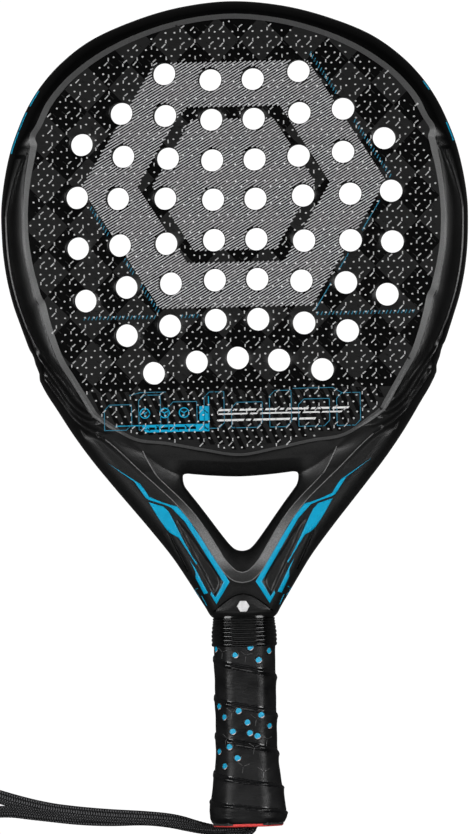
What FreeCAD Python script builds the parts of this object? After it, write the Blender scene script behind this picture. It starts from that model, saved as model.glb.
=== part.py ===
import FreeCAD, Part

# Padel racket lying on its back face: head, throat, wound handle, wrist strap, screw-in side weights.
#
# Frame in millimetres: origin under the middle of the racket on the surface it lies on, +X across
# the face, +Y from the butt towards the head, +Z out of the front face.  A distance called "station"
# is measured from the top of the head down towards the butt, so Y = half the length - station.

import math
import os

import Sketcher
from FreeCAD import Placement, Rotation, Vector

# ---------------------------------------------------------------- driving dimensions
SIZES = {
    # whole racket
    "overall_length": 455.0,
    "thickness": 38.0,
    # face sandwich
    "skin_thickness": 0.8,
    "hole_radius": 6.25,
    # moulded frame tube
    "frame_wall": 1.8,
    "rim_rounding": 9.0,
    "hoop_end": 212.0,
    "arm_end": 303.5,
    "yoke_end": 339.5,
    # throat opening
    "throat_top": 258.7,
    "throat_top_bow": 262.0,
    "throat_point": 307.9,
    "throat_half_slope": 0.7403,
    "throat_top_rounding": 3.0,
    "throat_bottom_rounding": 7.5,
    # handle
    "collar_end": 355.5,
    "flare_start": 420.0,
    "flare_peak": 446.0,
    "butt_end": 454.2,
    "grip_half_width": 17.1,
    "grip_half_depth": 16.0,
    "grip_front_facet": 9.5,
    "grip_side_facet": 7.5,
    "butt_half_width": 21.5,
    "butt_half_depth": 19.0,
    "butt_front_facet": 11.0,
    "butt_side_facet": 9.0,
    "overgrip_thickness": 0.7,
    "base_grip_thickness": 1.6,
    "tape_thickness": 0.3,
    "collar_thickness": 0.5,
    "collar_rib_height": 0.5,
    "collar_rib_width": 1.3,
    "collar_rib_pitch": 2.4,
    "tail_width": 11.0,
    "tail_depth": 20.0,
    "tail_wall": 1.5,
    "tail_gap": 1.0,
    "tail_end": 440.0,
    # strap opening in the butt
    "strap_slot_width": 8.6,
    "strap_slot_depth": 9.4,
    "strap_slot_centre": 2.1,
    "knot_radius": 5.6,
    "knot_length": 4.4,
    # side weights
    "weight_station": 199.5,
    "weight_half_span": 109.9,
    "weight_slant": 21.1,
    "socket_length": 15.6,
    "socket_height": 18.8,
    "socket_depth": 13.2,
    "recess_length": 13.0,
    "recess_height": 16.0,
    "recess_floor": 2.6,
    "weight_gap": 0.3,
    "weight_seat": 2.4,
    "weight_face": 0.4,
    "slug_radius": 4.0,
    "slug_depth": 7.4,
    "slug_hole_depth": 7.7,
    "insert_radius": 3.25,
    "thread_radius": 2.0,
    "insert_end": 12.4,
    "screw_radius": 1.95,
    "screw_head_radius": 3.2,
    "screw_head_seat": 1.6,
    "screw_head_top": 0.5,
    "screw_end": 12.0,
    "screw_clearance": 0.3,
    # wrist strap
    "strap_radius": 1.3,
}

# Right-hand half of each outline as (half width, station), from the top of the head down.
OUTER_HALF = [
    (28.3, 2.9), (52.9, 9.6), (77.4, 20.1), (105.3, 44.7), (123.1, 81.4), (128.6, 121.0),
    (126.1, 151.6), (116.0, 184.0), (103.1, 217.0), (82.7, 249.0), (62.8, 275.0), (38.6, 306.0),
    (26.4, 325.0), (19.0, 339.5),
]
FACE_HALF = [
    (49.4, 19.5), (86.1, 40.7), (102.0, 63.0), (109.6, 85.0), (113.0, 112.0), (111.4, 140.0),
    (106.0, 165.0), (95.0, 199.0), (82.1, 224.7),
]
FACE_TOP = 9.9
FACE_BOTTOM_HALF = [(59.5, 238.7), (30.0, 243.4)]
FACE_BOTTOM = 249.1

# Holes of the face, row by row, right-hand half as (half width, station); 0 stands on the centre line.
HOLE_ROWS = [
    [(11.7, 43.1), (37.0, 39.3)],
    [(11.7, 65.0), (37.0, 62.3), (61.1, 60.6)],
    [(11.7, 87.4), (36.0, 85.9), (60.6, 84.3), (83.4, 77.3)],
    [(11.7, 109.1), (38.0, 107.9), (64.0, 107.5), (86.6, 106.4)],
    [(11.7, 131.4), (38.0, 132.8), (63.6, 133.2), (86.7, 134.4)],
    [(11.7, 153.5), (36.0, 154.9), (60.5, 156.4), (83.2, 163.4)],
    [(11.7, 175.6), (37.0, 178.2), (60.9, 183.0)],
    [(0.0, 196.7), (22.7, 198.4), (46.5, 204.1)],
]

# Wrist strap: one loop out of the butt, along the surface and back, as a centre line.
STRAP_ROUTE = [
    (0.5, -223.9, 19.0), (0.5, -229.1, 19.0), (-7.5, -229.3, 17.4), (-17.0, -229.4, 12.4),
    (-28.0, -227.4, 7.2), (-40.0, -224.2, 4.7), (-57.0, -222.2, 4.3), (-76.0, -220.9, 4.2),
    (-95.0, -218.9, 4.0), (-113.0, -216.2, 3.2), (-137.0, -209.4, 2.0), (-166.0, -199.0, 1.6),
    (-196.0, -192.4, 1.6), (-226.0, -193.4, 1.6), (-250.0, -201.6, 1.6), (-263.0, -214.6, 2.4),
    (-261.0, -228.6, 3.4), (-245.0, -236.6, 3.9), (-220.0, -235.0, 3.9), (-191.0, -229.0, 3.9),
    (-163.0, -222.4, 3.9), (-137.0, -218.2, 3.9), (-116.0, -221.3, 3.4), (-95.0, -223.4, 1.9),
    (-76.0, -223.0, 1.4), (-58.0, -222.6, 1.3), (-44.0, -224.2, 1.4), (-33.0, -227.0, 3.4),
    (-22.0, -230.2, 7.6), (-10.5, -232.4, 13.4), (3.7, -232.9, 17.8), (3.7, -223.9, 19.0),
]

doc = FreeCAD.newDocument("padel_racket")
sheet = doc.addObject("Spreadsheet::Sheet", "Sizes")
for row, (alias, value) in enumerate(SIZES.items(), start=1):
    sheet.set(f"A{row}", alias)
    sheet.set(f"B{row}", str(value))
    sheet.setAlias(f"B{row}", alias)
doc.recompute()


def size(alias):
    """A driving dimension, read from the sheet."""
    return float(sheet.get(alias))


LENGTH = size("overall_length")
THICKNESS = size("thickness")
MIDDLE = THICKNESS / 2
WALL = size("frame_wall")


def at(half_width, station, height=0.0):
    """Row-frame point of an outline point."""
    return Vector(half_width, LENGTH / 2 - station, height)


# ---------------------------------------------------------------- sub-part bookkeeping
parts = []


def keep(obj, name):
    obj.Label = name
    parts.append(obj)
    return obj


def bind(obj, **expressions):
    """Bind properties to the sheet; a double underscore stands for a dot in the property's path."""
    for path, expression in expressions.items():
        obj.setExpression(path.replace("__", "."), expression)


def new_body(name, placement):
    body = doc.addObject("PartDesign::Body", name)
    body.Placement = placement
    return keep(body, name)


def new_sketch(body, name, height="0"):
    """A sketch on the body's own XY plane, lifted by a bound height."""
    plane = [feature for feature in body.Origin.OriginFeatures if feature.Role == "XY_Plane"][0]
    sketch = body.newObject("Sketcher::SketchObject", name)
    sketch.AttachmentSupport = (plane, [""])
    sketch.MapMode = "FlatFace"
    if height != "0":
        sketch.setExpression("AttachmentOffset.Base.z", height)
    return sketch


def amount(terms):
    """Number for a sum of signed aliases such as (("+", "tail_width"), ("-", "tail_wall"))."""
    return sum(size(alias) if sign == "+" else -size(alias) for sign, alias in terms)


def expression(terms):
    return " ".join(f"{sign} Sizes.{alias}" for sign, alias in terms).lstrip("+ ")


def bound_polygon(sketch, corners):
    """Closed polygon; each corner is (x sign, x terms, y sign, y terms), every coordinate bound."""
    points = [Vector(sx * amount(tx), sy * amount(ty), 0) for sx, tx, sy, ty in corners]
    first = sketch.GeometryCount
    for index, point in enumerate(points):
        sketch.addGeometry(Part.LineSegment(point, points[(index + 1) % len(points)]), False)
    for index, (sx, tx, sy, ty) in enumerate(corners):
        line = first + index
        before = first + (index - 1) % len(corners)
        sketch.addConstraint(Sketcher.Constraint("Coincident", before, 2, line, 1))
        for kind, sign, terms, value in (
            ("DistanceX", sx, tx, points[index].x),
            ("DistanceY", sy, ty, points[index].y),
        ):
            number = sketch.addConstraint(Sketcher.Constraint(kind, -1, 1, line, 1, value))
            sketch.setExpression(f"Constraints[{number}]", f"{sign} * ({expression(terms)})")


def octagon_corners(width_terms, depth_terms, front_alias, side_alias):
    """Eight corners of a grip section: flat front, back and sides, four bevels."""
    front = (("+", front_alias),)
    side = (("+", side_alias),)
    return [
        (1, width_terms, 1, side), (1, front, 1, depth_terms),
        (-1, front, 1, depth_terms), (-1, width_terms, 1, side),
        (-1, width_terms, -1, side), (-1, front, -1, depth_terms),
        (1, front, -1, depth_terms), (1, width_terms, -1, side),
    ]


def grip_octagon(sketch, inset, flared=False):
    """Grip or butt section, drawn in by the named layer thicknesses."""
    prefix = "butt" if flared else "grip"
    drawn_in = tuple(("-", alias) for alias in inset)
    width_terms = (("+", f"{prefix}_half_width"),) + drawn_in
    depth_terms = (("+", f"{prefix}_half_depth"),) + drawn_in
    bound_polygon(sketch, octagon_corners(width_terms, depth_terms,
                                          f"{prefix}_front_facet", f"{prefix}_side_facet"))


def handle_placement(station):
    """Local +Z runs down the handle towards the butt, local +Y is the racket's +Z."""
    return Placement(Vector(0, LENGTH / 2 - station, MIDDLE), Rotation(Vector(1, 0, 0), 90))


def bind_station(obj, alias):
    obj.setExpression(".Placement.Base.y", f"Sizes.overall_length / 2 - Sizes.{alias}")
    obj.setExpression(".Placement.Base.z", "Sizes.thickness / 2")


# ---------------------------------------------------------------- outlines
def open_spline(points):
    curve = Part.BSplineCurve()
    curve.interpolate(points)
    return curve


def mirrored(half, top):
    """Left side from the bottom up, the top point, then the right side down."""
    left = [at(-x, station) for x, station in reversed(half)]
    right = [at(x, station) for x, station in half]
    return left + [at(0, top)] + right


OUTER_POINTS = mirrored(OUTER_HALF, 0.0)
FACE_POINTS = mirrored(FACE_HALF, FACE_TOP)
FACE_CORNER = FACE_HALF[-1]
FACE_LOWER_POINTS = (
    [at(*FACE_CORNER)] + [at(*point) for point in FACE_BOTTOM_HALF] + [at(0, FACE_BOTTOM)]
    + [at(-x, station) for x, station in reversed(FACE_BOTTOM_HALF)] + [at(-FACE_CORNER[0], FACE_CORNER[1])]
)


def shifted(points, distance):
    """The same outline points moved outwards, or inwards if negative, square to their curve."""
    curve = open_spline(points)
    middle = Vector(0, LENGTH / 2 - size("weight_station") / 2, 0)
    moved = []
    for point in points:
        tangent = curve.tangent(curve.parameter(point))[0]
        normal = Vector(tangent.y, -tangent.x, 0)
        if normal.dot(point - middle) < 0:
            normal = normal.negative()
        moved.append(point + normal * distance)
    return moved


def closed_wire(first_points, second_points):
    """Two open splines joined end to end."""
    return Part.Wire([open_spline(first_points).toShape(), open_spline(second_points).toShape()])


def outer_wire(inset):
    side = shifted(OUTER_POINTS, -inset)
    end = Part.LineSegment(side[-1], side[0]).toShape()
    return Part.Wire([open_spline(side).toShape(), end])


def face_wire(margin):
    upper = shifted(FACE_POINTS, margin)
    lower = shifted(FACE_LOWER_POINTS, margin)
    upper[0] = lower[-1] = (upper[0] + lower[-1]) / 2
    upper[-1] = lower[0] = (upper[-1] + lower[0]) / 2
    return closed_wire(upper, lower)


def throat_half_width(station):
    """Half width of the throat opening between its straight sides."""
    return (size("throat_point") - station) * size("throat_half_slope")


def prism(wire, low, high):
    face = Part.Face(wire)
    face.translate(Vector(0, 0, low))
    return face.extrude(Vector(0, 0, high - low))


def polygon_prism(corners, low, high):
    points = [at(x, station) for x, station in corners]
    return prism(Part.makePolygon(points + points[:1]), low, high)


def upright_edges(solid, test):
    chosen = []
    for edge in solid.Edges:
        ends = [vertex.Point for vertex in edge.Vertexes]
        if len(ends) == 2 and abs(ends[0].z - ends[1].z) > 1 and test(ends[0]):
            chosen.append(edge)
    return chosen


def throat_prism(margin, low, high):
    """The opening, widened by a margin on every side."""
    slope = size("throat_half_slope")
    side_shift = margin * math.hypot(1, slope)
    top = size("throat_top") - margin
    point = size("throat_point") + side_shift / slope
    half_top = (point - top) * slope
    corners = [(-half_top, top), (0, size("throat_top_bow") - margin), (half_top, top), (0, point)]
    solid = polygon_prism(corners, low, high)
    point_y = LENGTH / 2 - point
    tip = upright_edges(solid, lambda end: abs(end.y - point_y) < 1)
    solid = solid.makeFillet(size("throat_bottom_rounding") + margin, tip)
    top_edges = upright_edges(solid, lambda end: abs(abs(end.x) - half_top) < 1)
    return solid.makeFillet(size("throat_top_rounding") + margin, top_edges)


def rounded_blank(inset):
    """The whole frame outline at full thickness with rounded outer edges, drawn in by an inset."""
    solid = prism(outer_wire(inset), inset, THICKNESS - inset)
    flat_end = LENGTH / 2 - size("yoke_end")
    rims = []
    for edge in solid.Edges:
        level = abs(edge.BoundBox.ZMax - edge.BoundBox.ZMin) < 1e-6
        along_end = edge.BoundBox.YMax < flat_end + 0.5
        if level and not along_end:
            rims.append(edge)
    return solid.makeFillet(size("rim_rounding") - inset, rims)


def frame_solid(inset):
    """Frame moulding between the outer outline, the face and the throat opening."""
    low, high = -1.0, THICKNESS + 1.0
    solid = rounded_blank(inset).cut(prism(face_wire(inset), low, high))
    return solid.cut(throat_prism(inset, low, high))


def zone(corners):
    return polygon_prism(corners, -5.0, THICKNESS + 5.0)


WIDE = 160.0
HOOP_END = size("hoop_end")
ARM_END = size("arm_end")
YOKE_END = size("yoke_end")
SEAM_END = 264.4
SEAM_TOP = throat_half_width(HOOP_END)
SEAM_LOW = throat_half_width(SEAM_END)
ARM_ZONE = [(SEAM_TOP, HOOP_END), (WIDE, HOOP_END), (WIDE, ARM_END), (0, ARM_END), (0, SEAM_END),
            (SEAM_LOW, SEAM_END)]
FRAME_ZONES = {
    "head_hoop": [(-WIDE, -10), (WIDE, -10), (WIDE, HOOP_END), (-WIDE, HOOP_END)],
    "right_arm": ARM_ZONE,
    "left_arm": [(-x, station) for x, station in ARM_ZONE],
    "throat_bridge": [(-SEAM_TOP, HOOP_END), (SEAM_TOP, HOOP_END), (SEAM_LOW, SEAM_END),
                      (-SEAM_LOW, SEAM_END)],
    "throat_yoke": [(-WIDE, ARM_END), (WIDE, ARM_END), (WIDE, YOKE_END), (-WIDE, YOKE_END)],
}
FILLERS = {"head_hoop": "hoop_foam", "right_arm": "right_arm_foam", "left_arm": "left_arm_foam",
           "throat_bridge": "bridge_foam"}


# ---------------------------------------------------------------- side weight stations
def weight_placement(side):
    """Local +Z points out of the rim, local +Y is the racket's +Z, local X runs along the edge."""
    slant = math.radians(size("weight_slant"))
    outward = Vector(side * math.cos(slant), -math.sin(slant), 0)
    along = Vector(0, 0, 1).cross(outward)
    turn = Rotation(along, Vector(0, 0, 1), outward, "ZYX")
    return Placement(at(side * size("weight_half_span"), size("weight_station"), MIDDLE), turn)


def socket_block(side):
    block = Part.makeBox(size("socket_length"), size("socket_height"), size("socket_depth") + 6,
                         Vector(-size("socket_length") / 2, -size("socket_height") / 2,
                                -size("socket_depth")))
    block.Placement = weight_placement(side)
    return block


# ---------------------------------------------------------------- frame mouldings
def make_frame():
    moulding = frame_solid(0.0)
    filling = frame_solid(WALL)
    blocks = [socket_block(side) for side in (-1, 1)]
    for name, corners in FRAME_ZONES.items():
        shell = moulding.common(zone(corners))
        if name in FILLERS:
            filler = filling.common(zone(corners))
            shell = shell.cut(filler)
            if name == "head_hoop":
                filler = filler.cut(blocks)
            foam = doc.addObject("Part::Feature", FILLERS[name])
            foam.Shape = one_solid(filler)
            keep(foam, FILLERS[name])
        if name == "head_hoop":
            shell = shell.cut(blocks)
        frame = doc.addObject("Part::Feature", name)
        frame.Shape = one_solid(shell)
        keep(frame, name)


def one_solid(shape):
    """The largest solid of a boolean's result, so that no crumb is left beside it."""
    solids = sorted(shape.Solids, key=lambda solid: solid.Volume)
    crumbs = sum(solid.Volume for solid in solids[:-1])
    if crumbs > 1.0:
        print("crumbs", round(crumbs, 2), "mm3 left out")
    return solids[-1]


# ---------------------------------------------------------------- face sandwich
def hole_centres():
    for row in HOLE_ROWS:
        for half_width, station in row:
            for side in ((1, -1) if half_width else (1,)):
                yield side * half_width, LENGTH / 2 - station


def face_layer(name, lift, thickness, lift_expression, thickness_expression):
    body = new_body(name, Placement(Vector(0, 0, lift), Rotation()))
    body.setExpression(".Placement.Base.z", lift_expression)
    outline = new_sketch(body, name + "_outline")
    outline.addGeometry(open_spline(FACE_POINTS), False)
    outline.addGeometry(open_spline(FACE_LOWER_POINTS), False)
    outline.addConstraint(Sketcher.Constraint("Coincident", 0, 2, 1, 1))
    outline.addConstraint(Sketcher.Constraint("Coincident", 1, 2, 0, 1))
    sheet_pad = body.newObject("PartDesign::Pad", name + "_sheet")
    sheet_pad.Profile = outline
    sheet_pad.Length = thickness
    sheet_pad.setExpression("Length", thickness_expression)
    pattern = new_sketch(body, name + "_hole_pattern")
    for number, (x, y) in enumerate(hole_centres()):
        circle = Part.Circle(Vector(x, y, 0), Vector(0, 0, 1), size("hole_radius"))
        pattern.addGeometry(circle, False)
        if number:
            pattern.addConstraint(Sketcher.Constraint("Equal", 0, number))
    radius = pattern.addConstraint(Sketcher.Constraint("Radius", 0, size("hole_radius")))
    pattern.setExpression(f"Constraints[{radius}]", "Sizes.hole_radius")
    holes = body.newObject("PartDesign::Pocket", name + "_holes")
    holes.Profile = pattern
    holes.Type = "ThroughAll"
    holes.Midplane = True
    body.Tip = holes


def make_face():
    skin = size("skin_thickness")
    face_layer("back_face_skin", 0, skin, "0", "Sizes.skin_thickness")
    face_layer("foam_core", skin, THICKNESS - 2 * skin, "Sizes.skin_thickness",
               "Sizes.thickness - 2 * Sizes.skin_thickness")
    face_layer("front_face_skin", THICKNESS - skin, skin, "Sizes.thickness - Sizes.skin_thickness",
               "Sizes.skin_thickness")


# ---------------------------------------------------------------- handle
def loft(body, name, inset, kind, start_alias):
    """Grip-shaped loft from a station to the butt: straight, then flaring to its widest section."""
    heights = (
        ("0", False),
        (f"Sizes.flare_start - Sizes.{start_alias}", False),
        (f"Sizes.flare_peak - Sizes.{start_alias}", True),
        (f"Sizes.butt_end - Sizes.{start_alias}", True),
    )
    sketches = []
    for number, (height, flared) in enumerate(heights):
        sketch = new_sketch(body, f"{name}_section_{number}", height)
        grip_octagon(sketch, inset, flared)
        sketches.append(sketch)
    feature = body.newObject(kind, name + "_loft")
    feature.Profile = sketches[0]
    feature.Sections = sketches[1:]
    feature.Ruled = True
    return feature


def make_sleeve(name, start_alias, outer_inset, inner_inset):
    body = new_body(name, handle_placement(size(start_alias)))
    bind_station(body, start_alias)
    loft(body, name, outer_inset, "PartDesign::AdditiveLoft", start_alias)
    loft(body, name + "_inside", inner_inset, "PartDesign::SubtractiveLoft", start_alias)


def boxed(name, length, width, height, x, y, z):
    """Part::Box with every size and place bound."""
    box = doc.addObject("Part::Box", name)
    bind(box, Length=length, Width=width, Height=height)
    for axis, text in (("x", x), ("y", y), ("z", z)):
        box.setExpression(f".Placement.Base.{axis}", text)
    return box


def make_tails():
    """The two ends of the frame tube, side by side inside the handle."""
    for name, low_x in (("left_tube_tail", "-Sizes.tail_gap - Sizes.tail_width"),
                        ("right_tube_tail", "Sizes.tail_gap")):
        run = "Sizes.tail_end - Sizes.yoke_end"
        end_y = "Sizes.overall_length / 2 - Sizes.tail_end"
        outer = boxed(name + "_outer", "Sizes.tail_width", run, "Sizes.tail_depth",
                      low_x, end_y, "(Sizes.thickness - Sizes.tail_depth) / 2")
        inner = boxed(name + "_inner", "Sizes.tail_width - 2 * Sizes.tail_wall", run,
                      "Sizes.tail_depth - 2 * Sizes.tail_wall", f"{low_x} + Sizes.tail_wall", end_y,
                      "(Sizes.thickness - Sizes.tail_depth) / 2 + Sizes.tail_wall")
        tube = doc.addObject("Part::Cut", name)
        tube.Base = outer
        tube.Tool = inner
        keep(tube, name)


def make_handle_core():
    """Moulded handle body with two channels for the tube tails."""
    body = new_body("handle_core", handle_placement(YOKE_END))
    bind_station(body, "yoke_end")
    layers = ["overgrip_thickness", "base_grip_thickness"]
    heights = (("0", False), ("Sizes.flare_start - Sizes.yoke_end", False),
               ("Sizes.flare_peak - Sizes.yoke_end", True))
    sketches = []
    for number, (height, flared) in enumerate(heights):
        sketch = new_sketch(body, f"handle_core_section_{number}", height)
        grip_octagon(sketch, layers, flared)
        sketches.append(sketch)
    solid = body.newObject("PartDesign::AdditiveLoft", "handle_core_loft")
    solid.Profile = sketches[0]
    solid.Sections = sketches[1:]
    solid.Ruled = True
    channels = new_sketch(body, "handle_core_channels")
    near = (("+", "tail_gap"),)
    far = (("+", "tail_gap"), ("+", "tail_width"))
    for side in (1, -1):
        level = (("+", "tail_depth"),)
        corners = [(side, near, -0.5, level), (side, far, -0.5, level),
                   (side, far, 0.5, level), (side, near, 0.5, level)]
        bound_polygon(channels, corners)
    pocket = body.newObject("PartDesign::Pocket", "handle_core_channel_cut")
    pocket.Profile = channels
    pocket.Reversed = True
    pocket.Length = size("tail_end") - YOKE_END
    pocket.setExpression("Length", "Sizes.tail_end - Sizes.yoke_end")


def make_grip_layers():
    make_sleeve("base_grip", "yoke_end", ["overgrip_thickness"],
                ["overgrip_thickness", "base_grip_thickness"])
    make_sleeve("overgrip", "collar_end", [], ["overgrip_thickness"])


def ring_pad(body, name, outer_extra, inner_inset, length, height="0"):
    """Octagonal ring: outer faces stand out by a bound amount, inner faces are drawn in."""
    sketch = new_sketch(body, name + "_sketch", height)
    outer_terms = tuple((("+", alias) for alias in outer_extra))
    corners = octagon_corners((("+", "grip_half_width"),) + outer_terms,
                              (("+", "grip_half_depth"),) + outer_terms,
                              "grip_front_facet", "grip_side_facet")
    bound_polygon(sketch, corners)
    inner_terms = tuple((sign, alias) for sign, alias in inner_inset)
    corners = octagon_corners((("+", "grip_half_width"),) + inner_terms,
                              (("+", "grip_half_depth"),) + inner_terms,
                              "grip_front_facet", "grip_side_facet")
    bound_polygon(sketch, corners)
    pad = body.newObject("PartDesign::Pad", name)
    pad.Profile = sketch
    pad.setExpression("Length", length)
    return pad


def make_collar():
    """Ribbed rubber ring over the top end of the grip, and the finishing tape beneath it."""
    tape_bed = (("-", "overgrip_thickness"),)
    over_tape = (("-", "overgrip_thickness"), ("+", "tape_thickness"))
    body = new_body("finishing_tape", handle_placement(YOKE_END))
    bind_station(body, "yoke_end")
    sketch = new_sketch(body, "finishing_tape_sketch")
    for terms in (over_tape, tape_bed):
        corners = octagon_corners((("+", "grip_half_width"),) + terms,
                                  (("+", "grip_half_depth"),) + terms,
                                  "grip_front_facet", "grip_side_facet")
        bound_polygon(sketch, corners)
    pad = body.newObject("PartDesign::Pad", "finishing_tape_pad")
    pad.Profile = sketch
    pad.setExpression("Length", "Sizes.collar_end - Sizes.yoke_end")

    collar = new_body("ribbed_collar", handle_placement(YOKE_END))
    bind_station(collar, "yoke_end")
    ring_pad(collar, "collar_band", ["collar_thickness"], over_tape, "Sizes.collar_end - Sizes.yoke_end")
    doc.recompute()
    rib = ring_pad(collar, "collar_rib", ["collar_thickness", "collar_rib_height"], over_tape,
                   "Sizes.collar_rib_width", "Sizes.collar_rib_width")
    doc.recompute()
    ribs = collar.newObject("PartDesign::LinearPattern", "collar_ribs")
    ribs.Originals = [rib]
    axis = [feature for feature in collar.Origin.OriginFeatures if feature.Role == "Z_Axis"][0]
    ribs.Direction = (axis, [""])
    ribs.Occurrences = 6
    ribs.setExpression("Length", "5 * Sizes.collar_rib_pitch")
    collar.Tip = ribs


def strap_slot(name, low_alias, high_alias, grow=1.0):
    """Box-shaped way through the butt for the strap."""
    return boxed(name, "Sizes.strap_slot_width", f"Sizes.{high_alias} - Sizes.{low_alias} + {2 * grow}",
                 "Sizes.strap_slot_depth", "Sizes.strap_slot_centre - Sizes.strap_slot_width / 2",
                 f"Sizes.overall_length / 2 - Sizes.{high_alias} - {grow}",
                 "(Sizes.thickness - Sizes.strap_slot_depth) / 2")


def butt_block(name, start_alias, end_alias):
    """Octagonal block of the butt section inside the grip layers."""
    body = doc.addObject("PartDesign::Body", name)
    body.Placement = handle_placement(size(start_alias))
    bind_station(body, start_alias)
    sketch = new_sketch(body, name + "_sketch")
    grip_octagon(sketch, ["overgrip_thickness", "base_grip_thickness"], flared=True)
    pad = body.newObject("PartDesign::Pad", name + "_pad")
    pad.Profile = sketch
    pad.setExpression("Length", f"Sizes.{end_alias} - Sizes.{start_alias}")
    return body


def lying_cylinder(name, radius, length, station_end):
    """Cylinder along the handle axis at the strap slot, its lower end at a station."""
    cylinder = doc.addObject("Part::Cylinder", name)
    cylinder.Placement = Placement(Vector(), Rotation(Vector(1, 0, 0), -90))
    bind(cylinder, Radius=radius, Height=length)
    cylinder.setExpression(".Placement.Base.x", "Sizes.strap_slot_centre")
    cylinder.setExpression(".Placement.Base.y", f"Sizes.overall_length / 2 - ({station_end})")
    cylinder.setExpression(".Placement.Base.z", "Sizes.thickness / 2")
    return cylinder


def make_butt():
    """Butt cap with a cavity for the strap's knot, the coloured end plate, and the knot."""
    block = butt_block("butt_cap_block", "flare_peak", "butt_end")
    cavity = lying_cylinder("butt_cap_cavity", "Sizes.knot_radius + 0.4", "Sizes.knot_length + 1.2",
                            "Sizes.flare_peak + Sizes.knot_length + 0.2")
    hollow = doc.addObject("Part::Cut", "butt_cap_hollow")
    hollow.Base = block
    hollow.Tool = cavity
    cap = doc.addObject("Part::Cut", "butt_cap")
    cap.Base = hollow
    cap.Tool = strap_slot("butt_cap_slot", "flare_peak", "butt_end")
    keep(cap, "butt_cap")

    plate_block = butt_block("butt_plate_block", "butt_end", "overall_length")
    plate = doc.addObject("Part::Cut", "butt_plate")
    plate.Base = plate_block
    plate.Tool = strap_slot("butt_plate_slot", "butt_end", "overall_length")
    keep(plate, "butt_plate")

    knot = lying_cylinder("strap_knot", "Sizes.knot_radius", "Sizes.knot_length",
                          "Sizes.flare_peak + Sizes.knot_length")
    keep(knot, "strap_knot")


# ---------------------------------------------------------------- side weights
def upright_box(name, length, width, high, low):
    """Box centred on its axis between two depths below the rim's surface."""
    return boxed(name, length, width, f"{low} - ({high})", f"-({length}) / 2", f"-({width}) / 2",
                 f"-({low})")


def upright_cylinder(name, radius, high, low):
    cylinder = doc.addObject("Part::Cylinder", name)
    bind(cylinder, Radius=radius, Height=f"{low} - ({high})")
    cylinder.setExpression(".Placement.Base.z", f"-({low})")
    return cylinder


def joined(kind, name, base, tools):
    """Chain of Part booleans of one kind."""
    result = base
    for number, tool in enumerate(tools):
        step = doc.addObject(kind, f"{name}_{number}")
        step.Base = result
        step.Tool = tool
        result = step
    return result


def placed(feature, name, side):
    feature.Placement = weight_placement(side)
    return keep(feature, name)


def make_weight_set(side, hand):
    socket = upright_box(f"{hand}_socket_block", "Sizes.socket_length", "Sizes.socket_height",
                         "Sizes.weight_face - 0.1", "Sizes.socket_depth")
    recess = upright_box(f"{hand}_recess", "Sizes.recess_length", "Sizes.recess_height", "-1",
                         "Sizes.recess_floor")
    slug_hole = upright_cylinder(f"{hand}_slug_hole", "Sizes.slug_radius + Sizes.weight_gap", "0",
                                 "Sizes.slug_hole_depth")
    insert_hole = upright_cylinder(f"{hand}_insert_hole", "Sizes.insert_radius", "0",
                                   "Sizes.insert_end")
    placed(joined("Part::Cut", f"{hand}_socket_cut", socket, [recess, slug_hole, insert_hole]),
           f"{hand}_weight_socket", side)

    sleeve = upright_cylinder(f"{hand}_insert_sleeve", "Sizes.insert_radius",
                              "Sizes.slug_hole_depth", "Sizes.insert_end")
    thread = upright_cylinder(f"{hand}_insert_thread", "Sizes.thread_radius", "0",
                              "Sizes.insert_end + 1")
    placed(joined("Part::Cut", f"{hand}_insert_cut", sleeve, [thread]),
           f"{hand}_threaded_insert", side)

    plate = upright_box(f"{hand}_weight_plate", "Sizes.recess_length - 2 * Sizes.weight_gap",
                        "Sizes.recess_height - 2 * Sizes.weight_gap", "Sizes.weight_face",
                        "Sizes.weight_seat")
    slug = upright_cylinder(f"{hand}_weight_slug", "Sizes.slug_radius", "Sizes.weight_face",
                            "Sizes.slug_depth")
    whole = joined("Part::Fuse", f"{hand}_weight_whole", plate, [slug])
    bore = upright_cylinder(f"{hand}_weight_bore", "Sizes.screw_radius + Sizes.screw_clearance",
                            "0", "Sizes.slug_depth + 1")
    counterbore = upright_cylinder(f"{hand}_weight_counterbore",
                                   "Sizes.screw_head_radius + Sizes.screw_clearance", "-1",
                                   "Sizes.screw_head_seat + 0.1")
    placed(joined("Part::Cut", f"{hand}_weight_cut", whole, [bore, counterbore]),
           f"{hand}_weight", side)

    shank = upright_cylinder(f"{hand}_screw_shank", "Sizes.screw_radius", "Sizes.screw_head_top",
                             "Sizes.screw_end")
    head = upright_cylinder(f"{hand}_screw_head", "Sizes.screw_head_radius",
                            "Sizes.screw_head_top", "Sizes.screw_head_seat")
    turned = joined("Part::Fuse", f"{hand}_screw_whole", shank, [head])
    key = doc.addObject("Part::Prism", f"{hand}_screw_key")
    key.Polygon = 6
    key.Circumradius = 1.45
    key.Height = 2.0
    key.setExpression(".Placement.Base.z", "-Sizes.screw_head_top - 0.9")
    placed(joined("Part::Cut", f"{hand}_screw_cut", turned, [key]), f"{hand}_weight_screw", side)


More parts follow.
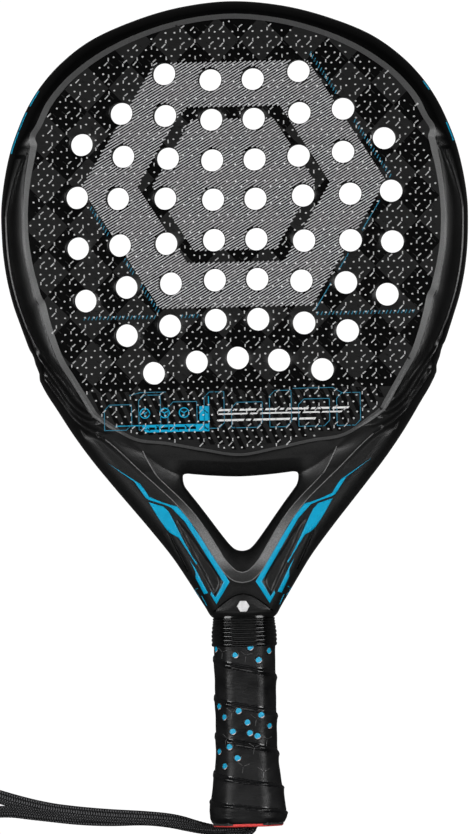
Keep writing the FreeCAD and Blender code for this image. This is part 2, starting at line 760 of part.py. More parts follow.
# ---------------------------------------------------------------- wrist strap
def route_wire(points):
    """Straight runs joined by tangent arcs, each as large as its two runs allow."""
    corners = [Vector(*point) for point in points]
    edges = []
    radii = []
    start = corners[0]
    for index in range(1, len(corners) - 1):
        back = corners[index - 1] - corners[index]
        ahead = corners[index + 1] - corners[index]
        turn = math.pi - back.getAngle(ahead)
        trim = 0.45 * min(back.Length, ahead.Length)
        radius = trim / math.tan(turn / 2)
        radii.append(radius)
        back.normalize()
        ahead.normalize()
        entry = corners[index] + back * trim
        leave = corners[index] + ahead * trim
        inward = back + ahead
        inward.normalize()
        centre_gap = math.hypot(radius, trim)
        middle = corners[index] + inward * (centre_gap - radius)
        edges.append(Part.LineSegment(start, entry).toShape())
        edges.append(Part.Arc(entry, middle, leave).toShape())
        start = leave
    edges.append(Part.LineSegment(start, corners[-1]).toShape())
    print("strap radii mm:", [round(radius, 1) for radius in radii])
    return Part.Wire(edges)


def make_strap():
    wire = route_wire(STRAP_ROUTE)
    radius = size("strap_radius")
    start, ahead = Vector(*STRAP_ROUTE[0]), Vector(*STRAP_ROUTE[1])
    section = Part.Wire(Part.makeCircle(radius, start, ahead - start))
    tube = wire.makePipeShell([section], True, False)
    strap = doc.addObject("Part::Feature", "wrist_strap")
    strap.Shape = tube
    keep(strap, "wrist_strap")
    expected = math.pi * radius ** 2 * wire.Length
    print("strap length mm:", round(wire.Length, 1), "volume / section x length:",
          round(tube.Volume / expected, 4))


# ---------------------------------------------------------------- the racket
make_frame()
make_face()
make_tails()
make_handle_core()
make_grip_layers()
make_collar()
make_butt()
for weight_side, weight_hand in ((-1, "left"), (1, "right")):
    make_weight_set(weight_side, weight_hand)
make_strap()
doc.recompute()

for checked in doc.Objects:
    if "Invalid" in checked.State or "Error" in checked.State:
        raise RuntimeError(f"{checked.Name} failed: {checked.State}")
for part in parts:
    if part.Shape.isNull() or not part.Shape.isValid():
        raise RuntimeError(f"{part.Label} has no valid shape")

os.makedirs("parts", exist_ok=True)
for part in parts:
    box = part.Shape.BoundBox
    print(f"{part.Label:22s} solids {len(part.Shape.Solids)} volume {part.Shape.Volume:11.1f}",
          f"x {box.XMin:7.1f} {box.XMax:7.1f} y {box.YMin:7.1f} {box.YMax:7.1f}",
          f"z {box.ZMin:5.1f} {box.ZMax:5.1f}")
    part.Shape.exportStep(f"parts/{part.Label}.step")
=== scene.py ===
"""Padel racket lying on a pale floor: sculpted frame, embossed and printed face, wound grip, strap.

Outlines are written in millimetres as (half width, station), where the station is measured from the
top of the head towards the butt.  Everything becomes metres in the frame's own axes when a mesh is
made: X across the face, Y from butt to head, Z out of the front face.
"""
import math
import random

import bpy
import numpy as np
from mathutils import Matrix, Vector
from mathutils.geometry import delaunay_2d_cdt


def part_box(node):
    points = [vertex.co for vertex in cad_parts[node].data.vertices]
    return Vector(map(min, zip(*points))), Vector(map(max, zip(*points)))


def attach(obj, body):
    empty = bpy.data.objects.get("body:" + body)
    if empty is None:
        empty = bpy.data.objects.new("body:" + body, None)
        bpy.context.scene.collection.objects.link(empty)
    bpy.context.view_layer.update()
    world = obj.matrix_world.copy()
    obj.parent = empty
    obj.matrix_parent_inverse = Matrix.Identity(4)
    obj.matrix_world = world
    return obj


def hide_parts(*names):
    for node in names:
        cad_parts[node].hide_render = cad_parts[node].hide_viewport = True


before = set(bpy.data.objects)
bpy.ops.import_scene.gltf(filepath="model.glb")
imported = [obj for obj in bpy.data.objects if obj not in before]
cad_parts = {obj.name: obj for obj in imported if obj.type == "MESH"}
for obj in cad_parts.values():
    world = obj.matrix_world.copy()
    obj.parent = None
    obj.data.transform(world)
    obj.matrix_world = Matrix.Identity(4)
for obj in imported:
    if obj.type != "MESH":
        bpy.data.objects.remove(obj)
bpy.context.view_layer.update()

MM = 0.001
HEAD_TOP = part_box("head_hoop")[1][1] / MM
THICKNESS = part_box("head_hoop")[1][2] / MM
MIDDLE = THICKNESS / 2
FLOOR = -0.0005
HEX_FLAT = 0.866  # half the width across a hexagon's flats, for corners at 1


def clear_scene_defaults():
    for name in ("Cube", "Light", "Camera"):
        if name in bpy.data.objects:
            bpy.data.objects.remove(bpy.data.objects[name])


# ------------------------------------------------------------------ camera
def make_camera():
    """Almost square on to the front face, from slightly right of and above its middle."""
    lens = 600.0
    view_height = 459.6
    aim = Vector((-1.95, -1.66, 28.0)) * MM
    distance = view_height * MM * lens / 36.0
    lean = Vector((0.0105, 0.0070, 1.0)).normalized()
    up = Vector((0.0227, 0.99974, 0.0))
    data = bpy.data.cameras.new("camera")
    data.lens = lens
    data.clip_end = 60.0
    camera = bpy.data.objects.new("camera", data)
    bpy.context.collection.objects.link(camera)
    right = up.cross(lean).normalized()
    true_up = lean.cross(right)
    place = aim + lean * distance
    camera.matrix_world = Matrix((
        (right.x, true_up.x, lean.x, place.x),
        (right.y, true_up.y, lean.y, place.y),
        (right.z, true_up.z, lean.z, place.z),
        (0.0, 0.0, 0.0, 1.0),
    ))
    bpy.context.scene.camera = camera


# ------------------------------------------------------------------ node materials
class Shader:
    """Short way to wire a procedural material."""

    def __init__(self, name, colour, roughness, specular=0.5, metallic=0.0):
        self.material = bpy.data.materials.new(name)
        self.material.use_nodes = True
        self.tree = self.material.node_tree
        self.surface = self.tree.nodes["Principled BSDF"]
        self.surface.inputs["Base Color"].default_value = (*colour, 1.0)
        self.surface.inputs["Roughness"].default_value = roughness
        self.surface.inputs["Specular IOR Level"].default_value = specular
        self.surface.inputs["Metallic"].default_value = metallic
        self.place = self.tree.nodes.new("ShaderNodeTexCoord").outputs["Object"]

    def node(self, kind, **values):
        made = self.tree.nodes.new(kind)
        for key, value in values.items():
            setattr(made, key, value)
        return made

    def link(self, source, target):
        self.tree.links.new(source, target)

    def stretch(self, scale, turn=0.0):
        mapping = self.node("ShaderNodeMapping")
        mapping.inputs["Scale"].default_value = scale
        mapping.inputs["Rotation"].default_value = (0.0, 0.0, turn)
        self.link(self.place, mapping.inputs["Vector"])
        return mapping.outputs["Vector"]

    def noise(self, scale, detail=3.0, place=None):
        texture = self.node("ShaderNodeTexNoise")
        texture.inputs["Scale"].default_value = scale
        texture.inputs["Detail"].default_value = detail
        self.link(place or self.place, texture.inputs["Vector"])
        return texture.outputs["Fac"]

    def ramp(self, source, stops):
        ramp = self.node("ShaderNodeValToRGB")
        elements = ramp.color_ramp.elements
        elements[0].position, elements[1].position = stops[0][0], stops[-1][0]
        for position, _ in stops[1:-1]:
            elements.new(position)
        for element, (_, value) in zip(elements, stops):
            element.color = (*value, 1.0) if isinstance(value, tuple) else (value,) * 3 + (1.0,)
        self.link(source, ramp.inputs["Fac"])
        return ramp.outputs["Color"]

    def math(self, operation, first, second):
        node = self.node("ShaderNodeMath", operation=operation)
        for socket, value in zip(node.inputs, (first, second)):
            if isinstance(value, (int, float)):
                socket.default_value = value
            else:
                self.link(value, socket)
        return node.outputs["Value"]

    def mix(self, factor, first, second):
        node = self.node("ShaderNodeMix", data_type="RGBA")
        self.link(factor, node.inputs["Factor"])
        for socket, value in ((node.inputs["A"], first), (node.inputs["B"], second)):
            if isinstance(value, tuple):
                socket.default_value = (*value, 1.0)
            else:
                self.link(value, socket)
        return node.outputs["Result"]

    def colour(self, source):
        self.link(source, self.surface.inputs["Base Color"])

    def rough(self, source):
        self.link(source, self.surface.inputs["Roughness"])

    def bump(self, source, strength, depth):
        bump = self.node("ShaderNodeBump")
        bump.inputs["Strength"].default_value = strength
        bump.inputs["Distance"].default_value = depth
        self.link(source, bump.inputs["Height"])
        self.link(bump.outputs["Normal"], self.surface.inputs["Normal"])


def axis_of(shader, axis):
    split = shader.node("ShaderNodeSeparateXYZ")
    shader.link(shader.place, split.inputs["Vector"])
    return split.outputs[axis]


def lacquer_material():
    """Black lacquer: smooth round the head, grained and a little lighter on the arms."""
    shader = Shader("frame_lacquer", (0.012, 0.012, 0.013), 0.3, specular=0.27)
    y = axis_of(shader, "Y")
    span = shader.node("ShaderNodeMapRange")
    span.inputs["From Min"].default_value = 0.03
    span.inputs["From Max"].default_value = -0.03
    shader.link(y, span.inputs["Value"])
    lower = span.outputs["Result"]
    grain = shader.noise(2600.0, 2.0)
    fleck = shader.ramp(grain, [(0.35, 0.0012), (0.5, 0.005), (0.72, 0.014)])
    smooth = shader.ramp(shader.noise(40.0), [(0.3, 0.001), (0.7, 0.002)])
    shader.colour(shader.mix(lower, smooth, fleck))
    shader.rough(shader.math("ADD", shader.math("MULTIPLY", lower, 0.12),
                             shader.ramp(shader.noise(60.0), [(0.3, 0.21), (0.7, 0.25)])))
    shader.bump(shader.math("MULTIPLY", grain, lower), 0.2, 0.0002)
    return shader.material


def chamfer_material():
    """Satin ground edge between the face and the rim."""
    shader = Shader("chamfer_satin", (0.1, 0.1, 0.1), 0.42, specular=0.5)
    grain = shader.noise(1900.0, 2.0)
    shader.colour(shader.ramp(grain, [(0.3, 0.05), (0.7, 0.085)]))
    shader.bump(grain, 0.2, 0.0001)
    return shader.material


SANDED_FROM = 258.0
SANDED_TO = 320.0


def sanded_material():
    """Sanded inner slopes of the arms: grey and grained, dark again where they run out."""
    shader = Shader("sanded_slope", (0.1, 0.1, 0.1), 0.45, specular=0.4)
    span = shader.node("ShaderNodeMapRange")
    span.inputs["From Min"].default_value = (HEAD_TOP - SANDED_FROM) * MM
    span.inputs["From Max"].default_value = (HEAD_TOP - SANDED_TO) * MM
    shader.link(axis_of(shader, "Y"), span.inputs["Value"])
    tone = shader.ramp(span.outputs["Result"], [(0.0, 0.004), (0.25, 0.03), (0.55, 0.26), (0.8, 0.3),
                                                (0.9, 0.06), (1.0, 0.03)])
    grain = shader.noise(1500.0, 3.0)
    shader.colour(shader.math("MULTIPLY", tone, shader.ramp(grain, [(0.3, 0.5), (0.7, 1.0)])))
    shader.bump(grain, 0.3, 0.0002)
    return shader.material


HATCH_CENTRE = (0.0, 101.0)
HATCH_RADII = (84.0, 53.0, 45.0)
HATCH_SQUASH = 0.93


def carbon_material():
    """Spread-tow carbon: large diamonds whose tows run two ways, under a satin coat."""
    shader = Shader("carbon_diamonds", (0.02, 0.02, 0.02), 0.4, specular=0.2)
    shift = shader.node("ShaderNodeVectorMath", operation="ADD")
    shift.inputs[1].default_value = (0.0917, -0.1178, 0.0)
    shader.link(shader.place, shift.inputs[0])
    squeeze = shader.node("ShaderNodeMapping")
    squeeze.inputs["Scale"].default_value = (1 / 0.0241, 1 / 0.0252, 0.0)
    shader.link(shift.outputs["Vector"], squeeze.inputs["Vector"])
    parts = shader.node("ShaderNodeSeparateXYZ")
    shader.link(squeeze.outputs["Vector"], parts.inputs["Vector"])
    rising = shader.math("ADD", parts.outputs["X"], parts.outputs["Y"])
    falling = shader.math("SUBTRACT", parts.outputs["X"], parts.outputs["Y"])
    cells = []
    for diagonal in (rising, falling):
        cell = shader.math("FLOOR", shader.math("ADD", diagonal, 0.5), 0.0)
        cells.append(shader.math("FLOORED_MODULO", cell, 2.0))
    one_way = shader.math("ABSOLUTE", shader.math("SUBTRACT", cells[0], cells[1]), 0.0)
    foot = shader.math("LESS_THAN", axis_of(shader, "Y"), (HEAD_TOP - 214.0) * MM)
    one_way = shader.math("MAXIMUM", one_way, foot)
    tow = shader.noise(1.0, 2.0, shader.stretch((2200.0, 180.0, 1.0), math.radians(45)))
    tow_two = shader.noise(1.0, 2.0, shader.stretch((180.0, 2200.0, 1.0), math.radians(45)))
    dark = shader.ramp(tow, [(0.3, 0.0006), (0.7, 0.002)])
    light = shader.ramp(tow_two, [(0.3, 0.006), (0.7, 0.011)])
    x = shader.math("ABSOLUTE", axis_of(shader, "X"), 0.0)
    y = shader.math("SUBTRACT", axis_of(shader, "Y"), (HEAD_TOP - HATCH_CENTRE[1]) * MM)
    y = shader.math("ABSOLUTE", shader.math("DIVIDE", y, HATCH_SQUASH), 0.0)
    slanted = shader.math("ADD", shader.math("MULTIPLY", x, HEX_FLAT), shader.math("MULTIPLY", y, 0.5))
    reach = shader.math("MAXIMUM", y, slanted)
    outer, gap, core = (shader.math("LESS_THAN", reach, radius * HEX_FLAT * MM) for radius in HATCH_RADII)
    hatched = shader.math("ADD", shader.math("SUBTRACT", outer, gap), core)
    shader.colour(shader.mix(hatched, shader.mix(one_way, dark, light), (0.0006, 0.0006, 0.0006)))
    shader.rough(shader.ramp(one_way, [(0.0, 0.2), (1.0, 0.32)]))
    weave = shader.mix(one_way, shader.ramp(tow, [(0.0, 0.0), (1.0, 1.0)]),
                       shader.ramp(tow_two, [(0.0, 0.0), (1.0, 1.0)]))
    shader.bump(weave, 0.12, 0.0002)
    return shader.material


def speckled(name, low, high, roughness, scale=900.0, specular=0.5, depth=0.0001, strength=0.3):
    """One colour with fine variation in tone and height."""
    shader = Shader(name, low, roughness, specular=specular)
    grain = shader.noise(scale)
    shader.colour(shader.ramp(grain, [(0.3, low), (0.7, high)]))
    shader.bump(grain, strength, depth)
    return shader.material


def tape_material(name, specular, low, high):
    """Smooth tacky grip tape: black, with broad sheen variation and faint creases along it."""
    shader = Shader(name, (0.012, 0.012, 0.013), 0.33, specular=specular)
    broad = shader.noise(70.0, 4.0)
    shader.colour(shader.ramp(broad, [(0.3, (0.002, 0.002, 0.0022)), (0.7, (0.007, 0.007, 0.0075))]))
    shader.rough(shader.ramp(broad, [(0.3, low), (0.7, high)]))
    crease = shader.noise(1.0, 3.0, shader.stretch((260.0, 700.0, 260.0)))
    shader.bump(crease, 0.35, 0.0005)
    return shader.material


def knit_material():
    """Dense black knit: rows of small stitches that follow the strap."""
    shader = Shader("strap_knit", (0.03, 0.03, 0.032), 0.8, specular=0.2)
    place = shader.node("ShaderNodeUVMap").outputs["UV"]
    split = shader.node("ShaderNodeSeparateXYZ")
    shader.link(place, split.inputs["Vector"])
    along = shader.math("MULTIPLY", split.outputs["X"], math.pi / 0.0014)
    across = shader.math("MULTIPLY", split.outputs["Y"], math.pi / 0.0014)
    lean = shader.math("ADD", along, shader.math("MULTIPLY", shader.math("SINE", across, 0.0), 0.9))
    stitch = shader.math("ABSOLUTE", shader.math("SINE", lean, 0.0), 0.0)
    row = shader.math("ABSOLUTE", shader.math("SINE", across, 0.0), 0.0)
    height = shader.math("MULTIPLY", stitch, shader.math("POWER", row, 0.5))
    # colour follows stitch height: the hollows darker as painted shade and the tops lighter as painted
    # highlight
    shader.colour(shader.ramp(height, [(0.1, (0.001, 0.001, 0.001)), (0.5, (0.012, 0.012, 0.013)),
                                       (0.95, (0.1, 0.1, 0.104))]))
    shader.bump(height, 0.9, 0.0005)
    return shader.material


def metal_material(name, low, high, roughness):
    shader = Shader(name, low, roughness, metallic=1.0)
    rings = shader.noise(1.0, 3.0, shader.stretch((300.0, 300.0, 4000.0)))
    shader.colour(shader.ramp(rings, [(0.3, low), (0.7, high)]))
    shader.bump(rings, 0.1, 0.0001)
    return shader.material


MATERIALS = {
    "lacquer": lacquer_material(),
    "chamfer": chamfer_material(),
    "carbon": carbon_material(),
    "sanded": sanded_material(),
    # light raised marks of the face: colour painted as a highlight
    "texture": speckled("resin_painted_glint", (0.42, 0.42, 0.42), (0.66, 0.66, 0.66), 0.3),
    # dark leaning legs of the face marks: colour painted as shade
    "shaded_texture": speckled("resin_painted_shade", (0.004, 0.004, 0.004), (0.02, 0.02, 0.02), 0.3, specular=0.3),
    "white_print": speckled("white_print", (0.66, 0.66, 0.66), (0.78, 0.78, 0.78), 0.5, 400.0),
    "hatch_print": speckled("hatch_print", (0.36, 0.36, 0.37), (0.5, 0.5, 0.51), 0.4, 400.0, specular=0.2),
    # light grey lines along the arms' ridges: painted highlight
    "line_print": speckled("painted_ridge_highlight", (0.1, 0.1, 0.1), (0.2, 0.2, 0.2), 0.4),
    # black print of the bars, also the dark lines in the arms' creases and round the dome as painted shade
    "black_print": speckled("black_print", (0.0005, 0.0005, 0.0005), (0.0015, 0.0015, 0.0015), 0.3,
                            specular=0.08),
    "teal_print": speckled("teal_print", (0.003, 0.16, 0.27), (0.004, 0.2, 0.32), 0.45, 400.0),
    "blue_print": speckled("blue_print", (0.0, 0.31, 0.52), (0.0, 0.36, 0.6), 0.3, 300.0, specular=0.3),
    "rubber": speckled("collar_rubber", (0.0005, 0.0005, 0.0005), (0.0015, 0.0015, 0.0015), 0.18,
                        strength=0.06),
    "tape": tape_material("grip_tape", 0.26, 0.34, 0.52),
    "tape_edge": tape_material("grip_tape_edge", 0.5, 0.16, 0.24),
    "emboss": speckled("tape_emboss", (0.07, 0.07, 0.07), (0.13, 0.13, 0.13), 0.3),
    "dot_blue": speckled("perforation_blue", (0.0, 0.33, 0.58), (0.001, 0.42, 0.68), 0.5),
    "dot_edge": speckled("perforation_edge", (0.01, 0.01, 0.01), (0.02, 0.02, 0.02), 0.3),
    # pale crescent in the grip's perforations: painted highlight
    "tape_backing": speckled("tape_backing", (0.5, 0.41, 0.4), (0.68, 0.57, 0.56), 0.6),
    "coral": speckled("coral_plastic", (0.7, 0.05, 0.045), (0.8, 0.075, 0.07), 0.4),
    "knit": knit_material(),
    "foam": speckled("dark_foam", (0.06, 0.06, 0.06), (0.16, 0.16, 0.16), 0.9, 1500.0),
    "filler": speckled("filler_foam", (0.6, 0.55, 0.42), (0.75, 0.7, 0.56), 0.9, 1200.0),
    "plastic": speckled("black_plastic", (0.01, 0.01, 0.01), (0.02, 0.02, 0.02), 0.45),
    "weight": metal_material("coated_weight", (0.05, 0.05, 0.055), (0.09, 0.09, 0.095), 0.35),
    "steel": metal_material("screw_steel", (0.35, 0.35, 0.37), (0.5, 0.5, 0.52), 0.28),
    "brass": metal_material("insert_brass", (0.6, 0.42, 0.16), (0.75, 0.55, 0.24), 0.3),
}


# ------------------------------------------------------------------ meshes
def piece(name, points, faces, material, replaces=(), smooth=True):
    """Closed mesh from millimetre points, riding on the racket's body."""
    mesh = bpy.data.meshes.new(name)
    mesh.from_pydata((np.asarray(points, float) * MM).tolist(), [], [tuple(f) for f in faces])
    mesh.update()
    materials = material if isinstance(material, (list, tuple)) else [material]
    for each in materials:
        mesh.materials.append(MATERIALS[each])
    if smooth:
        mesh.shade_smooth()
    made = bpy.data.objects.new(name, mesh)
    bpy.context.collection.objects.link(made)
    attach(made, "racket")
    if replaces:
        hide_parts(*replaces)
    return made


class Solid:
    """Gathers points and faces of many small shapes into one mesh."""

    def __init__(self):
        self.points = []
        self.faces = []

    def add(self, points, faces):
        start = len(self.points)
        self.points.extend(points)
        self.faces.extend([tuple(index + start for index in face) for face in faces])


def oriented(faces, outward):
    """The faces as they are for the front or right, reversed for the back or left."""
    return faces if outward > 0 else [face[::-1] for face in faces]


def wound(points, triangles, side=1):
    """Triangles that all turn the same way, and the other way where side is -1."""
    first = points[triangles[:, 0]]
    second, third = points[triangles[:, 1]] - first, points[triangles[:, 2]] - first
    turned = (second[:, 0] * third[:, 1] - second[:, 1] * third[:, 0]) * side > 0
    triangles[turned] = triangles[turned][:, ::-1]
    return triangles


def boundary_pairs(triangles):
    """Directed edges that belong to one triangle only."""
    pairs = triangle_edges(triangles).tolist()
    seen = dict.fromkeys((a, b) for a, b in pairs)
    return [(a, b) for a, b in seen if (b, a) not in seen]


def triangle_edges(triangles):
    return np.vstack([triangles[:, [0, 1]], triangles[:, [1, 2]], triangles[:, [2, 0]]])


def closed_sheet(top, under, triangles, outward):
    """Points and faces of a thin closed sheet between two copies of a triangulated area."""
    count = len(top)
    faces = triangles.tolist() + (triangles[:, ::-1] + count).tolist()
    faces += [[b, a, a + count, b + count] for a, b in boundary_pairs(triangles)]
    return np.vstack([top, under]), oriented(faces, outward)


def tube_faces(rows, around, start=0, closed=False):
    """Quads between rings of points, back to the first ring where closed."""
    faces = []
    for row in range(rows if closed else rows - 1):
        here, ahead = start + row * around, start + (row + 1) % rows * around
        for n in range(around):
            m = (n + 1) % around
            faces.append((here + n, here + m, ahead + m, ahead + n))
    return faces


# ------------------------------------------------------------------ outlines
def through(points, step=1.0, closed=False):
    """Smooth curve through points: centripetal Catmull-Rom, sampled about every step."""
    given = [np.array(point, float) for point in points]
    if closed:
        given = [given[-1]] + given + [given[0], given[1]]
    else:
        given = [2 * given[0] - given[1]] + given + [2 * given[-1] - given[-2]]
    samples = []
    for p0, p1, p2, p3 in zip(given, given[1:], given[2:], given[3:]):
        t1 = np.linalg.norm(p1 - p0) ** 0.5
        t2 = t1 + np.linalg.norm(p2 - p1) ** 0.5
        t3 = t2 + np.linalg.norm(p3 - p2) ** 0.5
        count = max(1, int(round(np.linalg.norm(p2 - p1) / step)))
        for t in t1 + (t2 - t1) * np.arange(count) / count:
            a1 = (t1 - t) / t1 * p0 + t / t1 * p1
            a2 = (t2 - t) / (t2 - t1) * p1 + (t - t1) / (t2 - t1) * p2
            a3 = (t3 - t) / (t3 - t2) * p2 + (t - t2) / (t3 - t2) * p3
            b1 = (t2 - t) / t2 * a1 + t / t2 * a2
            b2 = (t3 - t) / (t3 - t1) * a2 + (t - t1) / (t3 - t1) * a3
            samples.append((t2 - t) / (t2 - t1) * b1 + (t - t1) / (t2 - t1) * b2)
    if not closed:
        samples.append(given[-2])
    return np.array(samples)


def mirrored_loop(half, step=1.0):
    """Closed smooth outline from its right-hand half, given from the top of the centre line down."""
    right = np.array(half, float)
    inner = right[np.abs(right[:, 0]) > 1e-6]
    return through(np.vstack([right, inner[::-1] * (-1, 1)]), step, closed=True)


OUTER_HALF = [
    (0, 0), (28.3, 2.9), (52.9, 9.6), (77.4, 20.1), (93.7, 32.1), (105.3, 44.7), (113.2, 57.0),
    (118.9, 69.5), (123.1, 81.4), (126.6, 97.0), (128.5, 112.0), (128.6, 124.0), (127.9, 138.0),
    (126.0, 152.0), (123.0, 165.0), (119.4, 176.0), (116.7, 183.9), (114.6, 189.6),
    (112.4, 193.6), (111.4, 197.7), (109.9, 201.5), (109.3, 203.6), (109.3, 206.4), (106.0, 213.7),
    (100.6, 222.5), (91.3, 237.5), (81.5, 251.5), (70.6, 265.4), (62.8, 275.0), (50.6, 290.0),
    (38.6, 305.6), (30.6, 318.0), (25.4, 326.5), (20.4, 334.7), (18.8, 337.6), (16.8, 339.6),
    (12.0, 340.9), (0, 341.5),
]
FACE_HALF = [
    (0, 9.9), (25, 12.5), (49.4, 19.5), (70.0, 29.2), (86.2, 40.8), (94.4, 49.2), (99.9, 56.7),
    (105.0, 66.7), (108.6, 73.0), (107.7, 76.6), (108.7, 82.5), (111.3, 94.4), (113.0, 106.2),
    (113.7, 119.0), (113.2, 131.0), (111.4, 143.5), (108.4, 156.0), (107.0, 160.6), (105.2, 163.6),
    (102.8, 173.5), (99.9, 183.5), (95.4, 195.5), (89.9, 204.9), (84.4, 214.2), (80.4, 221.0),
    (77.6, 225.6), (71.4, 230.3), (63.4, 236.0), (55.4, 239.8), (40.0, 241.9), (20.0, 245.9),
    (0, 249.1),
]
BRIDGE_TOP = [(0, 262.0), (16, 261.2), (26.2, 260.2), (29.4, 259.9), (31.5, 260.5), (31.9, 262.9),
              (31.0, 266.8), (28.4, 270.6)]
THROAT_HALF = BRIDGE_TOP + [(23.4, 277.2), (18.0, 284.6), (10.6, 294.8), (6.7, 299.7), (3.9, 302.2),
                            (0, 303.2)]
INNER_RIM_HALF = [
    (0, 254.0), (22, 252.4), (36, 251.2), (46, 249.4), (53.4, 246.6), (50.5, 252.7), (46, 260.4),
    (40.7, 266.0), (34.4, 272.2), (26.6, 280.8), (19.6, 290.6), (13.6, 300.4), (9.2, 307.6),
    (6.0, 311.4), (3.1, 313.9), (0, 314.8),
]
OUTER_RIDGE_HALF = [
    (107.6, 204.2), (103.5, 211.0), (99.1, 217.2), (95.8, 221.6), (93.4, 225.5), (90.0, 229.2),
    (85.0, 233.0), (79.0, 236.4), (73.8, 239.8), (67.9, 244.9), (61.5, 251.1), (55.0, 257.6),
    (45.0, 267.0), (36.2, 275.6), (26.4, 287.9), (20.5, 298.0), (14.6, 307.6), (9.7, 315.0),
    (4.8, 319.2), (0, 320.3),
]
HOOP_RIDGE_HALF = [
    (114.4, 72.0), (116.2, 77.8), (118.8, 83.0), (121.2, 90.0), (123.0, 97.5), (124.7, 105.0),
    (126.1, 112.0), (127.0, 122.0), (126.5, 136.0), (124.7, 150.0), (121.6, 163.0), (118.0, 175.0),
    (115.4, 183.6), (113.0, 189.4), (110.4, 193.4), (107.0, 197.4), (103.7, 202.0), (100.9, 206.2),
    (98.2, 210.2), (94.9, 215.4), (92.0, 219.6), (88.4, 223.2), (84.7, 225.8), (81.0, 227.4),
]
POCKET = [(35.6, 284.6), (29.2, 291.0), (22.4, 301.4), (11.6, 319.6), (15.8, 327.8), (17.3, 324.7),
          (24.2, 310.6), (31.2, 296.2)]
OUTER_CREASE = [(40.4, 291.2), (36.6, 299.6), (33.0, 307.2), (30.2, 313.6)]
DOME_HALF = [(0, 326.4), (4.7, 327.6), (9.3, 330.4), (13.5, 333.6), (16.4, 336.2), (15.0, 339.0)]

HOLE_RADIUS = 6.25
HOLE_ROWS = [
    [(11.7, 43.1), (37.0, 39.3)],
    [(11.7, 65.0), (37.0, 62.3), (61.1, 60.6)],
    [(11.7, 87.4), (36.0, 85.9), (60.6, 84.3), (83.4, 77.3)],
    [(11.7, 109.1), (38.0, 107.9), (64.0, 107.5), (86.6, 106.4)],
    [(11.7, 131.4), (38.0, 132.8), (63.6, 133.2), (86.7, 134.4)],
    [(11.7, 153.5), (36.0, 154.9), (60.5, 156.4), (83.2, 163.4)],
    [(11.7, 175.6), (37.0, 178.2), (60.9, 183.0)],
    [(0.0, 196.7), (22.7, 198.4), (46.5, 204.1)],
]
HOLES = np.array([(side * x, station) for row in HOLE_ROWS for x, station in row
                  for side in ((1, -1) if x else (1,))])

OUTER = mirrored_loop(OUTER_HALF)
FACE = mirrored_loop(FACE_HALF)
THROAT = mirrored_loop(THROAT_HALF, 0.8)
INNER_RIM = mirrored_loop(INNER_RIM_HALF)
RIDGE = mirrored_loop([(0, 236)] + OUTER_RIDGE_HALF[7:])


def distances(points, line, closed=True):
    """Distance from each point to a polyline."""
    start = line if closed else line[:-1]
    end = np.roll(line, -1, axis=0) if closed else line[1:]
    run = end - start
    length = np.maximum((run ** 2).sum(1), 1e-9)
    nearest = np.full(len(points), 1e9)
    for first in range(0, len(points), 256):
        x = points[first:first + 256, 0:1] - start[:, 0]
        y = points[first:first + 256, 1:2] - start[:, 1]
        along = np.clip((x * run[:, 0] + y * run[:, 1]) / length, 0.0, 1.0)
        gap = (x - along * run[:, 0]) ** 2 + (y - along * run[:, 1]) ** 2
        nearest[first:first + 256] = np.sqrt(gap.min(1))
    return nearest


def inside(points, loop):
    """Whether each point is inside a closed outline."""
    x, y = points[:, 0:1], points[:, 1:2]
    x1, y1 = loop[:, 0], loop[:, 1]
    x2, y2 = np.roll(x1, -1), np.roll(y1, -1)
    spans = (y1 > y) != (y2 > y)
    with np.errstate(divide="ignore", invalid="ignore"):
        crossing = (x2 - x1) * (y - y1) / (y2 - y1) + x1
    return ((spans & (x < crossing)).sum(1) % 2) == 1


def on_frame(points):
    """Whether each point is on the frame: inside its outline, outside the face and the throat."""
    return inside(points, OUTER) & ~inside(points, FACE) & ~inside(points, THROAT)


def to_holes(points):
    """Distance from each point to the centre of the nearest airflow hole."""
    return np.sqrt(((np.asarray(points)[:, None, :] - HOLES[None]) ** 2).sum(2)).min(1)


def step(value, low, high):
    """Smooth rise from 0 at low to 1 at high."""
    t = np.clip((value - low) / (high - low), 0.0, 1.0)
    return t * t * (3 - 2 * t)


def table(stations, pairs):
    known = np.array(pairs, float)
    return np.interp(stations, known[:, 0], known[:, 1])


BAND_WIDTH = [(0, 2.8), (57, 3.5), (70, 3.2), (79, 3.9), (99, 3.1), (118, 2.6), (150, 2.8), (165, 3.8),
              (184, 3.5), (225, 3.4), (235, 2.0), (249, 1.6)]


# ------------------------------------------------------------------ sculpted height of the frame
# rises and depths were judged from the shading in the photograph
CHAMFER_DROP = 1.6
EDGE_HEIGHT = 7.5
GROOVE_DEPTH = 0.3
HOOP_RIDGE_RISE = 0.95
ARM_RIDGE_RISE = 1.0
RIDGE_WIDTH = 1.5
CHANNEL_DEPTH = 0.8
SLOPE_DROP = 2.9
SLOPE_RISE = 3.2
POCKET_DEPTH = 1.3
CREASE_DEPTH = 0.7
DOME_RISE = 0.6
WEIGHT_CENTRE = np.array((109.9, 199.5))
WEIGHT_SLANT = math.radians(21.1)
WEIGHT_OUT = np.array((math.cos(WEIGHT_SLANT), math.sin(WEIGHT_SLANT)))
WEIGHT_ALONG = np.array((-WEIGHT_OUT[1], WEIGHT_OUT[0]))
WINDOW_HALF = (6.8, 8.1)


def edge_level(points):
    """Half height of the upright wall: a little taller beside the side weights."""
    away = np.abs(points[:, 1] - WEIGHT_CENTRE[1])
    return EDGE_HEIGHT + 1.0 * (1 - step(away, 8.0, 15.0)) * (np.abs(points[:, 0]) > 90)


